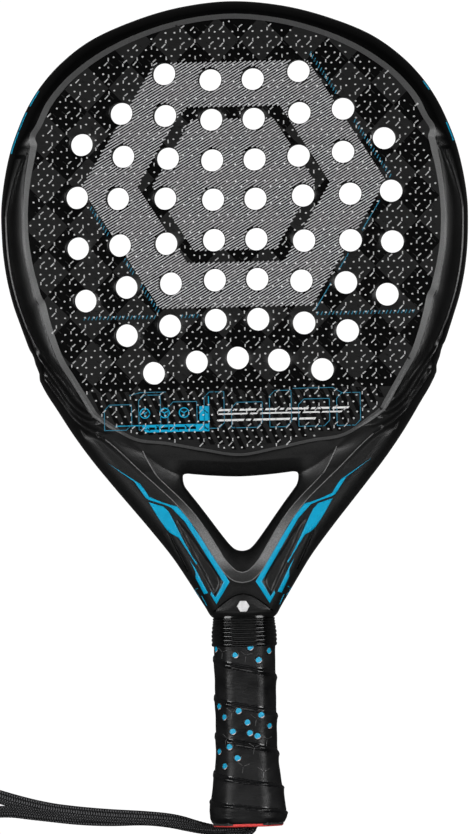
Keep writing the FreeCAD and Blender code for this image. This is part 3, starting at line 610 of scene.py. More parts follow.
def frame_height(points):
    """Height of the front surface above the racket's mid-plane."""
    across = np.abs(points[:, 0])
    station = points[:, 1]
    half = np.column_stack([across, station])
    to_face = distances(points, FACE)
    to_edge = distances(points, OUTER)
    to_throat = distances(points, THROAT)
    band = table(station, BAND_WIDTH)
    shoulder = MIDDLE - CHAMFER_DROP

    # rounding of the outer edge
    room = np.maximum(to_edge + to_face - band, 4.0)
    reach = table(station, [(0, 30), (72, 30), (84, 8), (96, 6), (106, 4.6), (116, 3.4), (178, 3.4),
                            (190, 5.0), (203, 4.0), (216, 7), (240, 9), (270, 10), (320, 9), (340, 6)])
    reach = np.minimum(reach, np.minimum(room, 12.0))
    fraction = np.clip(to_edge / reach, 0.0, 1.0)
    top = np.full(len(points), shoulder)
    top = np.where(station > 318, shoulder - 0.9 * step(station, 318, 340), top)
    edge = edge_level(points)
    power = 1.4 + 0.8 * step(station, 66, 84)
    height = edge + (top - edge) * (1 - (1 - fraction) ** power) ** (1 / power)

    # groove between the ground chamfer and the ridge near the outer edge
    groove = np.clip((to_face - band) / np.maximum(to_face - band + to_edge - reach, 0.5), 0, 1)
    deep = step(station, 76, 92) * (1 - step(station, 186, 206))
    height -= GROOVE_DEPTH * np.sin(np.pi * groove) * deep * (to_edge > reach * 0.8)

    # ridges that run from the edge to the face's lower corner and down the arms
    hoop_ridge = distances(half, through(HOOP_RIDGE_HALF), closed=False)
    strong = step(station, 74, 84) * (0.1 + 0.9 * step(station, 182, 196))
    height += HOOP_RIDGE_RISE * strong * np.exp(-(hoop_ridge / RIDGE_WIDTH) ** 2)
    arm_ridge = distances(half, through(OUTER_RIDGE_HALF), closed=False)
    fading = 1 - 0.75 * step(station, 240, 275)
    fading = fading * step(station, 203, 208)
    height += ARM_RIDGE_RISE * fading * np.exp(-(arm_ridge / RIDGE_WIDTH) ** 2)
    channel = step(station, 200, 212) * (1 - step(station, 232, 244))
    between = np.minimum(hoop_ridge, arm_ridge)
    height -= CHANNEL_DEPTH * channel * np.exp(-((between - 3.6) / 1.6) ** 2) * (to_edge > 5)

    # satin slope of the V and the dark slope round the opening
    in_ridge = inside(points, RIDGE) & (station > 236)
    to_ridge = distances(points, RIDGE)
    to_rim = distances(points, INNER_RIM)
    in_rim = inside(points, INNER_RIM)
    slope = shoulder - SLOPE_DROP + SLOPE_RISE * to_rim / np.maximum(to_rim + to_ridge, 0.1)
    calm = np.exp(-np.maximum(to_face - band, 0.0) / 4.0)
    slope = slope * (1 - calm) + shoulder * calm
    height = np.where(in_ridge & ~in_rim, slope, height)
    inner_fraction = to_throat / np.maximum(to_throat + to_rim, 0.1)
    rim_level = shoulder - SLOPE_DROP * (1 - calm)
    fall = 0.4 * inner_fraction + 0.6 * (1 - (1 - inner_fraction) ** 2) ** 0.5
    inner = EDGE_HEIGHT + (rim_level - EDGE_HEIGHT) * fall
    height = np.where(in_rim, inner, height)

    # recessed panel, crease and dome of the lower arms
    pocket = through(POCKET, closed=True)
    pocket_depth = np.where(inside(half, pocket), step(distances(half, pocket), 0.0, 1.6), 0.0)
    lean = np.clip((across - 8) / 26, 0, 1)
    height -= pocket_depth * (POCKET_DEPTH - 0.3 * lean)
    crease = distances(half, through(OUTER_CREASE), closed=False)
    height -= CREASE_DEPTH * np.exp(-(crease / 1.1) ** 2)
    dome = mirrored_loop(DOME_HALF)
    to_dome = distances(points, dome)
    in_dome = inside(points, dome)
    height += np.where(in_dome, DOME_RISE * step(to_dome, 0.0, 5.0), 0.0)
    height -= 0.25 * np.exp(-(to_dome / 1.0) ** 2) * (station < 338)

    # ground chamfer along the face
    chamfer = MIDDLE - CHAMFER_DROP * to_face / band
    return np.where(to_face < band, np.maximum(chamfer, height), height)


def inset_loop(loop, distance):
    """Outline moved towards its own left-hand side by a distance."""
    ahead = np.roll(loop, -1, axis=0) - np.roll(loop, 1, axis=0)
    normal = np.column_stack([-ahead[:, 1], ahead[:, 0]])
    normal /= np.linalg.norm(normal, axis=1)[:, None]
    return loop + normal * distance


def outset_loop(loop, distances_out):
    """Outline moved outwards by a distance given at each of its points."""
    moved = [inset_loop(loop, side * distances_out[:, None]) for side in (1, -1)]
    return max(moved, key=lambda ring: np.ptp(ring[:, 0]))


def hex_grid(low, high, pitch):
    rows = np.arange(low[1], high[1], pitch * HEX_FLAT)
    columns = np.arange(low[0], high[0], pitch)
    return np.array([(x + (number % 2) * pitch / 2, y)
                     for number, y in enumerate(rows) for x in columns])


def triangulate(loops, extra):
    """Triangles over the points of closed loops, kept as edges, and loose points between them."""
    points = np.vstack(list(loops) + [extra])
    edges = []
    start = 0
    for loop in loops:
        count = len(loop)
        edges += [(start + i, start + (i + 1) % count) for i in range(count)]
        start += count
    result = delaunay_2d_cdt([Vector(p) for p in points.tolist()], edges, [], 0, 1e-6)
    return np.array([tuple(v) for v in result[0]]), np.array(result[2])


GROUND = outset_loop(FACE, table(FACE[:, 1], BAND_WIDTH) - 0.15)


def frame_shell():
    """Points, triangles and sculpted heights of the frame's front; two_sided later turns them into one mesh
    with a mirrored back and walls along its three outlines.
    """
    pitch = 1.05
    grid = hex_grid((-130, 0), (130, 342), pitch)
    grid = grid[on_frame(grid)]
    clear = (distances(grid, OUTER) > 2.3) & (distances(grid, FACE) > 0.6)
    clear &= (distances(grid, THROAT) > 1.8) & (distances(grid, GROUND) > 0.4)
    grid = grid[clear]
    extra = [grid]
    sign = 1.0 if inside(inset_loop(OUTER, 0.5)[:1], OUTER)[0] else -1.0
    for distance in (0.12, 0.4, 0.9):
        extra += [inset_loop(OUTER, sign * distance), inset_loop(THROAT, -sign * distance * 0.8)]
    extra = np.vstack(extra + [inset_loop(OUTER, sign * 1.6)])
    points, triangles = triangulate([OUTER, FACE, THROAT, GROUND], extra[on_frame(extra)])
    triangles = triangles[on_frame(points[triangles].mean(1))]
    height = frame_height(points)
    edge_like = np.minimum(distances(points, OUTER), distances(points, THROAT)) < 1e-3
    height[edge_like] = edge_level(points)[edge_like]
    height = soften(points, triangles, height, edge_like)
    return points, triangles, height


def soften(points, triangles, height, fixed):
    """Two light passes that round the creases of the sculpted height."""
    pairs = triangle_edges(triangles)
    held = fixed | (distances(points, FACE) < 0.3)
    for _ in range(2):
        total = np.zeros(len(points))
        count = np.zeros(len(points))
        for a, b in ((0, 1), (1, 0)):
            np.add.at(total, pairs[:, a], height[pairs[:, b]])
            np.add.at(count, pairs[:, a], 1)
        mean = total / np.maximum(count, 1)
        height = np.where(held, height, 0.5 * height + 0.5 * mean)
    return height


def in_window(point):
    """Whether a point of the outer edge lies over a side weight."""
    gap = np.array((abs(point[0]), point[1])) - WEIGHT_CENTRE
    return abs(gap @ WEIGHT_ALONG) < WINDOW_HALF[0] + 0.5 and abs(gap @ WEIGHT_OUT) < 6.0


def two_sided(points, triangles, height, wall_rows=3, windows=False):
    """Front surface, its mirror image below the mid-plane, and walls between their edges."""
    used = np.unique(triangles)
    renumber = -np.ones(len(points), int)
    renumber[used] = np.arange(len(used))
    flat, triangles, height = points[used], renumber[triangles], height[used]
    triangles = wound(flat, triangles)
    x, y = flat[:, 0], HEAD_TOP - flat[:, 1]
    front = np.column_stack([x, y, MIDDLE + height])
    back = np.column_stack([x, y, MIDDLE - height])
    count = len(flat)
    all_points = [front, back]
    faces = triangles.tolist() + (triangles[:, ::-1] + count).tolist()
    edges = boundary_pairs(triangles)
    starts = {a: None for a, _ in edges}
    total = 2 * count
    for level in range(1, wall_rows):
        part = level / wall_rows
        order = list(starts)
        ring = front[order] * (1 - part) + back[order] * part
        all_points.append(ring)
        for position, index in enumerate(order):
            starts[index] = (starts[index] or [index]) + [total + position]
        total += len(order)
    for index in starts:
        starts[index] = (starts[index] or [index]) + [index + count]
    for a, b in edges:
        if windows and in_window(flat[a]) and in_window(flat[b]):
            continue
        up, down = starts[a], starts[b]
        for level in range(wall_rows):
            faces.append([down[level], up[level], up[level + 1], down[level + 1]])
    return np.vstack(all_points), faces


def window_rim(side):
    """Rim of the opening over a side weight, from the frame's wall in to the socket."""
    outline = OUTER[OUTER[:, 0] > 0] - WEIGHT_CENTRE
    order = np.argsort(outline @ WEIGHT_ALONG)
    near = [index for index in order if abs(outline[index] @ WEIGHT_OUT) < 8.0]
    along, out = outline[near] @ WEIGHT_ALONG, outline[near] @ WEIGHT_OUT
    corners = [np.array((a * WINDOW_HALF[0], b * WINDOW_HALF[1]))
               for a, b in ((-1, -1), (1, -1), (1, 1), (-1, 1))]
    loop = []
    for first, second in zip(corners, corners[1:] + corners[:1]):
        loop += [first + (second - first) * n / 8 for n in range(8)]
    loop = np.array(loop)
    wider = loop * ((WINDOW_HALF[0] + 1.0) / WINDOW_HALF[0], (WINDOW_HALF[1] + 0.5) / WINDOW_HALF[1])
    points = []
    for ring, raised in ((loop, False), (loop, True), (wider, True), (wider, False)):
        for a, z in ring:
            depth = np.interp(a, along, out) + 0.12 if raised else -0.32
            flat = WEIGHT_CENTRE + WEIGHT_ALONG * a + WEIGHT_OUT * depth
            points.append((side * flat[0], HEAD_TOP - flat[1], MIDDLE + z))
    return points, oriented(tube_faces(4, len(loop), closed=True), side)


FRAME_NODES = ("head_hoop", "left_arm", "right_arm", "throat_bridge", "throat_yoke")
FILLING_NODES = ("hoop_foam", "left_arm_foam", "right_arm_foam", "bridge_foam")


def make_frame_filling():
    """Foam inside the sculpted frame, a wall's thickness below its surface."""
    grid = hex_grid((-126, 4), (126, 318), 3.0)
    grid = grid[on_frame(grid)]
    clear = np.min([distances(grid, OUTER), distances(grid, FACE) + 0.6, distances(grid, THROAT)], axis=0)
    away = np.linalg.norm(np.abs(grid * (1, 0)) + grid * (0, 1) - WEIGHT_CENTRE, axis=1)
    grid = grid[(clear > 2.2) & (away > 19.0)]
    points, triangles = triangulate([], grid)
    sides = points[triangles] - np.roll(points[triangles], 1, axis=1)
    small = np.sqrt((sides ** 2).sum(2)).max(1) < 5.0
    height = frame_height(points) - 2.0
    solid, faces = two_sided(points, triangles[small], height)
    piece("frame_filling", solid, faces, "filler", FILLING_NODES)


def shade_from_slope(mesh, points, triangles):
    """Shading normals of the front and back taken from the sculpted slope, away from their edges."""
    used = np.unique(triangles)
    flat = points[used]
    clear = (distances(flat, OUTER) > 1.2) & (distances(flat, FACE) > 0.9) & (distances(flat, THROAT) > 1.0)
    spots = flat[clear]
    reach = 0.55
    rise = [(frame_height(spots + offset) - frame_height(spots - offset)) / (2 * reach)
            for offset in (np.array((reach, 0.0)), np.array((0.0, reach)))]
    normals = np.zeros((len(flat), 3))
    normals[clear] = np.column_stack([-rise[0], rise[1], np.ones(len(spots))])
    normals[clear] /= np.linalg.norm(normals[clear], axis=1)[:, None]
    whole = np.zeros((len(mesh.vertices), 3))
    whole[:len(flat)] = normals
    whole[len(flat):2 * len(flat)] = normals * (1, 1, -1)
    corners = np.empty(len(mesh.loops), int)
    mesh.loops.foreach_get("vertex_index", corners)
    mesh.normals_split_custom_set(whole[corners].tolist())


def make_frame_shell():
    points, triangles, height = frame_shell()
    solid, faces = two_sided(points, triangles, height, windows=True)
    whole = Solid()
    whole.add(solid.tolist(), faces)
    for side in (1, -1):
        whole.add(*window_rim(side))
    shell = piece("frame_shell", whole.points, whole.faces, ["lacquer", "chamfer", "sanded"],
                  FRAME_NODES)
    shell.data.set_sharp_from_angle(angle=math.radians(50))
    centres = points[triangles].mean(1)
    ground = inside(centres, GROUND)
    sanded = (centres[:, 1] > SANDED_FROM) & inside(centres, RIDGE) & ~inside(centres, INNER_RIM)
    coats = np.where(sanded, 2, ground)
    for polygon, coat in zip(shell.data.polygons, np.concatenate([coats, coats])):
        polygon.material_index = int(coat)
    shade_from_slope(shell.data, points, triangles)
    return shell


# ------------------------------------------------------------------ face skins
def circle(centre, radius, count=40):
    angles = 2 * np.pi * np.arange(count) / count
    return np.column_stack([centre[0] + radius * np.cos(angles), centre[1] + radius * np.sin(angles)])


SKIN = 0.8
MOUTH_WIDTH = 0.45
MOUTH_DEPTH = 0.42


def make_face_skin(name, outward):
    """Carbon sheet with rounded hole mouths; outward is +1 for the front and -1 for the back."""
    holes = [circle(hole, HOLE_RADIUS) for hole in HOLES]
    softer = [circle(hole, HOLE_RADIUS + extra) for hole in HOLES for extra in (0.18, MOUTH_WIDTH)]
    grid = hex_grid((-114, 9), (114, 250), 6.0)
    grid = grid[inside(grid, FACE) & (distances(grid, FACE) > 2.0)]
    grid = grid[to_holes(grid) > HOLE_RADIUS + 1.5]
    points, triangles = triangulate([FACE] + holes, np.vstack(softer + [grid]))
    centres = points[triangles].mean(1)
    triangles = triangles[inside(centres, FACE) & (to_holes(centres) > HOLE_RADIUS * 0.995)]
    gap = np.clip((to_holes(points) - HOLE_RADIUS) / MOUTH_WIDTH, 0, 1)
    mouth = MOUTH_DEPTH * (1 - np.sqrt(np.clip(1 - (1 - gap) ** 2, 0, 1)))
    triangles = wound(points, triangles)
    x, y = points[:, 0], HEAD_TOP - points[:, 1]
    top = np.column_stack([x, y, MIDDLE + outward * (MIDDLE - mouth)])
    under = np.column_stack([x, y, np.full(len(points), MIDDLE + outward * (MIDDLE - SKIN))])
    solid, faces = closed_sheet(top, under, triangles, outward)
    skin = piece(name, solid, faces, "carbon", (name,), smooth=False)
    skin.data.shade_smooth()
    skin.data.set_sharp_from_angle(angle=math.radians(35))
    return skin


# ------------------------------------------------------------------ raised texture
def rib(solid, start, end, width, height, outward):
    """Small roof-shaped rib between two points of the face."""
    start, end = np.array(start), np.array(end)
    run = (end - start) / np.linalg.norm(end - start)
    side = np.array([-run[1], run[0]]) * width / 2
    inner = run * width * 0.6
    low, high = MIDDLE + outward * (MIDDLE - 0.2), MIDDLE + outward * (MIDDLE + height)
    flat = [start - side, end - side, end + side, start + side]
    points = [(x, HEAD_TOP - s, low) for x, s in flat]
    points += [(x, HEAD_TOP - s, high) for x, s in (start + inner, end - inner)]
    faces = [(0, 1, 5, 4), (2, 3, 4, 5), (1, 2, 5), (3, 0, 4), (3, 2, 1, 0)]
    solid.add(points, oriented(faces, -outward))


def stud(solid, centre, half_width, half_height, height, outward):
    """Small rounded stud, wider than it is tall."""
    sides = 8
    points = []
    for scale, level in ((1.0, -0.2), (0.95, 0.4 * height), (0.55, 0.9 * height)):
        for number in range(sides):
            angle = 2 * math.pi * number / sides
            points.append((centre[0] + half_width * scale * math.cos(angle),
                           HEAD_TOP - centre[1] + half_height * scale * math.sin(angle),
                           MIDDLE + outward * (MIDDLE + level)))
    points.append((centre[0], HEAD_TOP - centre[1], MIDDLE + outward * (MIDDLE + height)))
    faces = [tuple(reversed(range(sides)))]
    for ring in (0, sides):
        for number in range(sides):
            ahead = (number + 1) % sides
            faces.append((ring + number, ring + ahead, ring + sides + ahead, ring + sides + number))
    faces += [(2 * sides + n, 2 * sides + (n + 1) % sides, 3 * sides) for n in range(sides)]
    solid.add(points, oriented(faces, outward))


def hatched(point):
    """Whether a point of the face is inside the printed hatching."""
    x, y = abs(point[0]), abs(point[1] - HATCH_CENTRE[1]) / HATCH_SQUASH
    reach = max(y, HEX_FLAT * x + 0.5 * y) / HEX_FLAT
    outer, gap, core = HATCH_RADII
    return reach < core or gap < reach < outer


TEXTURE_HEIGHT = 0.3


def make_texture(name, outward):
    """Honeycomb of three-legged ribs with studs between them; ribs and studs are coloured light as a
    painted highlight, and one leg of each mark dark as painted shade.
    """
    across, down = 15.95, 9.157
    start_x, start_s = -3.6, 66.3 - 6 * down
    marks, shaded = Solid(), Solid()
    figures = []
    # legs of kind "shade" get the dark colour as painted shade, the other legs and the studs the light
    # colour as painted highlight
    for column in range(-8, 9):
        for row in range(0, 28):
            x, s = start_x + across * column, start_s + down * row
            figures.append(("rib", (x, s), (x, s + 2.4)))
            figures.append(("rib", (x - 0.2, s + 2.4), (x - 2.6, s + 4.8)))
            figures.append(("shade", (x + 0.5, s + 2.7), (x + 2.7, s + 4.9)))
            x += across / 2
            figures.append(("shade", (x - 0.4, s + 3.2), (x - 2.5, s + 1.6)))
            figures.append(("rib", (x + 0.3, s + 3.3), (x + 2.5, s + 1.6)))
            figures.append(("rib", (x, s + 3.4), (x, s + 5.6)))
            for dx, ds in ((-5.0, 0.0), (0.0, -0.4), (5.0, 0.0), (-8.0, 5.6), (-3.1, 5.6),
                           (3.1, 5.6)):
                figures.append(("stud", (x + dx, s + ds), None))
    centres = np.array([point for _, point, _ in figures])
    on_face = inside(centres, FACE) & (distances(centres, FACE) > 1.3)
    clear = on_face & (to_holes(centres) > HOLE_RADIUS + 1.0)
    for (kind, point, other), allowed in zip(figures, clear):
        if not allowed:
            continue
        if kind == "stud":
            stud(marks, point, 0.6, 0.5, TEXTURE_HEIGHT, outward)
        elif hatched(point) or hatched(other):
            continue
        elif to_holes([other])[0] > HOLE_RADIUS + 0.5:
            rib(marks if kind == "rib" else shaded, point, other, 1.05, TEXTURE_HEIGHT, outward)
    piece(f"{name}_shaded", shaded.points, shaded.faces, "shaded_texture", smooth=False)
    return piece(name, marks.points, marks.faces, "texture", smooth=False)


# ------------------------------------------------------------------ face print
PRINT_LIFT = 0.05


def plate(solid, corners, outward, lift=PRINT_LIFT):
    """Thin closed plate over a convex outline of (half width, station) corners."""
    flat = np.array(corners, float)
    area = np.sum(flat[:, 0] * np.roll(flat[:, 1], -1) - np.roll(flat[:, 0], -1) * flat[:, 1])
    if area > 0:
        flat = flat[::-1]
    count = len(flat)
    high, low = MIDDLE + outward * (MIDDLE + lift), MIDDLE + outward * (MIDDLE - 0.1)
    points = [(x, HEAD_TOP - s, high) for x, s in flat] + [(x, HEAD_TOP - s, low) for x, s in flat]
    faces = [tuple(range(count)), tuple(range(2 * count - 1, count - 1, -1))]
    faces += [(n, n + count, (n + 1) % count + count, (n + 1) % count) for n in range(count)]
    solid.add(points, oriented(faces, outward))


def cut_spans(start, end, keep_margin=0.4):
    """Parts of a straight stroke that miss every hole."""
    start, end = np.array(start, float), np.array(end, float)
    run = end - start
    length = np.linalg.norm(run)
    run = run / length
    spans = [(0.0, length)]
    for hole in HOLES:
        along = np.dot(hole - start, run)
        off = abs((hole - start)[0] * run[1] - (hole - start)[1] * run[0])
        radius = HOLE_RADIUS + keep_margin
        if off >= radius:
            continue
        half = math.sqrt(radius ** 2 - off ** 2)
        cut = []
        for low, high in spans:
            if along - half > low:
                cut.append((low, min(high, along - half)))
            if along + half < high:
                cut.append((max(low, along + half), high))
        spans = [(low, high) for low, high in cut if high - low > 0.2]
    return [(start + run * low, start + run * high) for low, high in spans]


def clip_to(polygon, start, end):
    """Part of a straight stroke inside a convex outline, or None."""
    start, end = np.array(start, float), np.array(end, float)
    low, high = 0.0, 1.0
    corners = np.array(polygon, float)
    middle = corners.mean(0)
    for a, b in zip(corners, np.roll(corners, -1, axis=0)):
        normal = np.array([-(b - a)[1], (b - a)[0]])
        if np.dot(middle - a, normal) < 0:
            normal = -normal
        from_start, from_end = np.dot(start - a, normal), np.dot(end - a, normal)
        if from_start < 0 and from_end < 0:
            return None
        if from_start * from_end < 0:
            crossing = from_start / (from_start - from_end)
            if from_start < 0:
                low = max(low, crossing)
            else:
                high = min(high, crossing)
    return None if low >= high else (start + (end - start) * low, start + (end - start) * high)


def stroke(solid, start, end, width, outward, lift=PRINT_LIFT):
    """Straight printed stroke, broken at the holes."""
    for a, b in cut_spans(start, end):
        run = (b - a) / np.linalg.norm(b - a)
        side = np.array([-run[1], run[0]]) * width / 2
        plate(solid, [a - side, b - side, b + side, a + side], outward, lift)


def hexagon(centre, radius, squash=1.0):
    angles = np.radians(60 * np.arange(6))
    return np.column_stack([centre[0] + radius * np.cos(angles),
                            centre[1] + radius * squash * np.sin(angles)])


def make_hatch(name, outward):
    """White hatched hexagon inside a hatched hexagonal ring."""
    ink = Solid()
    rise = math.radians(30)
    run = np.array([math.cos(rise), -math.sin(rise)])
    side = np.array([math.sin(rise), math.cos(rise)])
    centre = np.array(HATCH_CENTRE)
    outer, gap, core = (hexagon(HATCH_CENTRE, radius, HATCH_SQUASH) for radius in HATCH_RADII)
    pitch, width = 1.36, 0.58
    for number in range(-70, 71):
        middle = centre + side * pitch * number
        whole = clip_to(outer, middle - run * 120, middle + run * 120)
        if whole is None:
            continue
        hollow = clip_to(gap, *whole)
        pieces = [whole]
        if hollow is not None:
            pieces = [(whole[0], hollow[0]), (hollow[1], whole[1])]
            solid_part = clip_to(core, *hollow)
            if solid_part is not None:
                pieces.append(solid_part)
        for start, end in pieces:
            if np.linalg.norm(end - start) > 1.0:
                stroke(ink, start, end, width, outward)
    return piece(name, ink.points, ink.faces, "hatch_print", smooth=False)


def tick_row(ink, start, end, outward, lean=(0.9, -2.0), pitch=2.1):
    """Row of short slanted ticks from one point to another."""
    start, end = np.array(start, float), np.array(end, float)
    count = int(np.linalg.norm(end - start) / pitch)
    for number in range(count + 1):
        foot = start + (end - start) * number / count
        tip = foot + np.array(lean)
        if to_holes([(foot + tip) / 2])[0] > HOLE_RADIUS + 1.8:
            stroke(ink, foot, tip, 0.42, outward)


def outline(ink, corners, width, outward, closed=True):
    corners = [np.array(corner, float) for corner in corners]
    ends = corners[1:] + corners[:1] if closed else corners[1:]
    for a, b in zip(corners, ends):
        stroke(ink, a, b, width, outward)


def make_teal_print(name, outward):
    """Thin teal ticks round the hexagon and plain open shapes across the foot of the face."""
    ink = Solid()
    ring = hexagon(HATCH_CENTRE, 87.0, HATCH_SQUASH)
    for a, b in ((5, 0), (0, 1), (2, 3)):
        tick_row(ink, ring[a], ring[b], outward)
    for start, end in (((-84, 174), (-22, 174)), ((38, 174), (97, 174))):
        tick_row(ink, start, end, outward, lean=(1.0, -1.9))
    for left, width, high in ((-74, 15, 12), (-55, 12, 17), (-39, 16, 13), (-19, 11, 18), (-4, 17, 12),
                              (17, 12, 18), (33, 17, 13), (54, 13, 16)):
        right = left + width
        top, bottom = 233.0 - high, 235.0
        cut = 3.0
        outline(ink, [(left + cut, top), (right, top), (right, bottom - cut), (right - cut, bottom),
                      (left, bottom), (left, top + cut)], 0.34, outward)
    outline(ink, [(-60, 216), (-54, 214.5), (-40, 214.5)], 0.3, outward, closed=False)
    outline(ink, [(30, 214), (52, 214), (57, 217)], 0.3, outward, closed=False)
    return piece(name, ink.points, ink.faces, "teal_print", smooth=False)


def make_dark_bars(name, outward):
    """Slanted black bars across the foot of the face."""
    ink = Solid()
    lean = 7.5
    for number in range(-16, 17):
        x = number * 5.2
        top, bottom = 214.0, 247.0
        line = np.array([(x + lean * (s - 230) / 17, s) for s in np.linspace(top, bottom, 12)])
        kept = line[inside(line, FACE) & (distances(line, FACE) > 1.4)]
        if len(kept) >= 3:
            for a, b in cut_spans(kept[0], kept[-1], 1.0):
                half = np.array([1.35, 0.0])
                plate(ink, [a - half, b - half, b + half, a + half], outward, 0.03)
    x = -49.5
    for width in (3.2, 1.4, 4.0, 2.2, 5.2, 1.4, 3.0):
        plate(ink, [(x, 233.8), (x + width, 233.8), (x + width, 235.2), (x, 235.2)], outward, 0.08)
        x += width + 0.9
    return piece(name, ink.points, ink.faces, "black_print", smooth=False)


def make_blue_badge(name, outward):
    """Blue panel marks at the lower left of the face: three rings, a block and a long bar."""
    ink = Solid()
    sides = 24
    for x in (-51.7, -40.8, -30.1):
        middle = (x, 226.0)
        rim, inner = circle(middle, 2.9, sides), circle(middle, 2.35, sides)
        for n in range(sides):
            m = (n + 1) % sides
            plate(ink, [rim[n], rim[m], inner[m], inner[n]], outward)
        for angle in np.radians((90, 210, 330)):
            tip = (x + 2.0 * math.cos(angle), middle[1] + 2.0 * math.sin(angle))
            stroke(ink, middle, tip, 0.5, outward)
    plate(ink, [(-21.6, 222.7), (-16.9, 222.7), (-16.9, 230.7), (-21.6, 230.7)], outward)
    plate(ink, [(-53.8, 232.4), (-16.4, 232.4), (-16.4, 236.5), (-51.6, 236.5)], outward)
    stroke(ink, (-68.0, 232.7), (-53.2, 232.7), 0.5, outward)
    stroke(ink, (-16.5, 217.3), (-16.5, 232.4), 0.45, outward)
    return piece(name, ink.points, ink.faces, "blue_print", smooth=False)


def make_white_marks(name, outward):
    """Plain white slanted blocks at the lower right of the face, standing where a name would be."""
    ink = Solid()
    for top, bottom, widths in ((224.6, 225.7, (6.5, 2.2, 9.0, 2.2, 6.5, 2.2, 12.0, 2.2, 6.5, 9.0)),
                                (226.9, 227.7, (16.0, 4.0, 22.0, 9.0, 11.0)),
                                (230.2, 231.3, (14.0, 2.2, 20.0, 2.2, 9.0))):
        x = -11.5
        for width in widths:
            plate(ink, [(x + 0.7, top), (x + width + 0.7, top), (x + width, bottom), (x, bottom)], outward)
            x += width + 1.5
    return piece(name, ink.points, ink.faces, "white_print", smooth=False)


# ------------------------------------------------------------------ frame graphics
STRIPE = [(72.5, 253.2), (58.4, 263.4), (55.9, 267.2), (52.2, 272.6), (50.3, 273.8), (42.4, 276.4),
          (38.4, 278.2), (31.3, 285.8), (24.4, 297.0), (10.6, 319.9), (15.1, 328.2), (17.4, 324.9),
          (17.9, 326.4), (14.7, 332.0), (7.2, 319.8), (21.6, 296.4), (29.4, 284.2), (35.0, 277.6),
          (38.3, 276.8), (43.6, 275.0), (50.4, 272.0), (52.8, 268.0), (55.3, 264.7)]
WEDGE = [(50.7, 274.9), (45.5, 283.8), (40.6, 291.1), (37.6, 293.2), (34.8, 294.7), (31.9, 299.2),
         (25.2, 310.0), (24.9, 309.0), (27.2, 305.8), (32.4, 295.6), (37.2, 285.4), (39.7, 280.6),
         (42.5, 277.6)]
SPUR = [(28.8, 307.4), (25.8, 314.0), (25.8, 317.3), (21.4, 326.3), (19.1, 325.7), (22.9, 318.2),
        (26.2, 311.4)]
BRACKET = [(24.7, 323.0), (26.8, 323.8), (24.1, 327.9), (22.7, 327.4), (20.0, 332.8)]


def inlay(ink, corners, side, outward, pitch=1.0, lift=0.14):
    """Thin closed skin over the sculpted frame inside an outline."""
    loop = []
    for a, b in zip(np.array(corners, float), np.roll(np.array(corners, float), -1, axis=0)):
        count = max(1, int(np.linalg.norm(b - a) / pitch))
        loop += [a + (b - a) * n / count for n in range(count)]
    loop = np.array(loop)
    grid = hex_grid(loop.min(0), loop.max(0), pitch)
    grid = grid[inside(grid, loop)]
    if len(grid):
        grid = grid[distances(grid, loop) > 0.3 * pitch]
    points, triangles = triangulate([loop], grid.reshape(-1, 2))
    centres = points[triangles].mean(1)
    triangles = wound(points, triangles[inside(centres, loop)], side)
    height = frame_height(points * (side, 1))
    x, y = side * points[:, 0], HEAD_TOP - points[:, 1]
    top, under = (np.column_stack([x, y, MIDDLE + outward * (height + level)])
                  for level in (lift, -0.4))
    ink.add(*closed_sheet(top, under, triangles, outward))


def ribbon_corners(line, width):
    """Outline of a thin stroke along an open line."""
    line = np.array(line, float)
    ahead = np.gradient(line, axis=0)
    normal = np.column_stack([-ahead[:, 1], ahead[:, 0]])
    normal /= np.linalg.norm(normal, axis=1)[:, None]
    return np.vstack([line + normal * width / 2, (line - normal * width / 2)[::-1]])


def edge_flash(ink, side, first, last, outward):
    """Thin line just inside the outer edge between two stations."""
    right = OUTER[(OUTER[:, 0] > 0) & (OUTER[:, 1] > first) & (OUTER[:, 1] < last)]
    right = right[np.argsort(right[:, 1])]
    middle = right - (0.95, 0.0)
    inlay(ink, ribbon_corners(middle, 0.7), side, outward, pitch=0.8, lift=0.3)


def make_frame_graphics(name, outward):
    """Blue stripes, wedges and outlines on the arms, and thin flashes on the rim."""
    ink = Solid()
    for side, first, last in ((1, 46, 52), (1, 68, 80), (-1, 47.1, 55.7), (-1, 58.6, 81.7)):
        edge_flash(ink, side, first, last, outward)
    for side in (1, -1):
        for corners in (STRIPE, WEDGE, SPUR):
            inlay(ink, corners, side, outward)
        inlay(ink, ribbon_corners(BRACKET, 0.35), side, outward)
    return piece(name, ink.points, ink.faces, "blue_print")


def make_frame_lines(name, outward):
    """Light lines along the arms' ridges as painted highlight, and dark lines in their creases and round
    the dome as painted shade.
    """
    painted_ridge_light, dark = Solid(), Solid()
    for side in (1, -1):
        for line in (OUTER_RIDGE_HALF[8:], INNER_RIM_HALF[4:]):
            inlay(painted_ridge_light, ribbon_corners(through(line), 0.5), side, outward)
        for line in (OUTER_CREASE, DOME_HALF[:5]):
            inlay(dark, ribbon_corners(through(line), 0.8), side, outward)
    piece(f"{name}_bright", painted_ridge_light.points, painted_ridge_light.faces, "line_print")
    piece(f"{name}_dark", dark.points, dark.faces, "black_print")


def make_yoke_mark(name, outward):
    """Small white hexagon mark on the dome above the handle."""
    ink = Solid()
    inlay(ink, hexagon((0.0, 333.4), 3.4), 1, outward, pitch=0.9, lift=0.16)
    return piece(name, ink.points, ink.faces, "white_print")


# ------------------------------------------------------------------ handle
def grip_section(angle, half_width, half_depth, front, side_flat, round_power=17.0):
    """Distance from the axis to a softened octagon, in the direction of an angle."""
    c, s = np.abs(np.cos(angle)), np.abs(np.sin(angle))
    slant = np.hypot(half_depth - side_flat, half_width - front)
    bevel_x = (half_depth - side_flat) / slant
    bevel_y = (half_width - front) / slant
    bevel_distance = bevel_x * half_width + bevel_y * side_flat
    total = (c / half_width) ** round_power + (s / half_depth) ** round_power
    total += ((c * bevel_x + s * bevel_y) / bevel_distance) ** round_power
    return total ** (-1 / round_power)


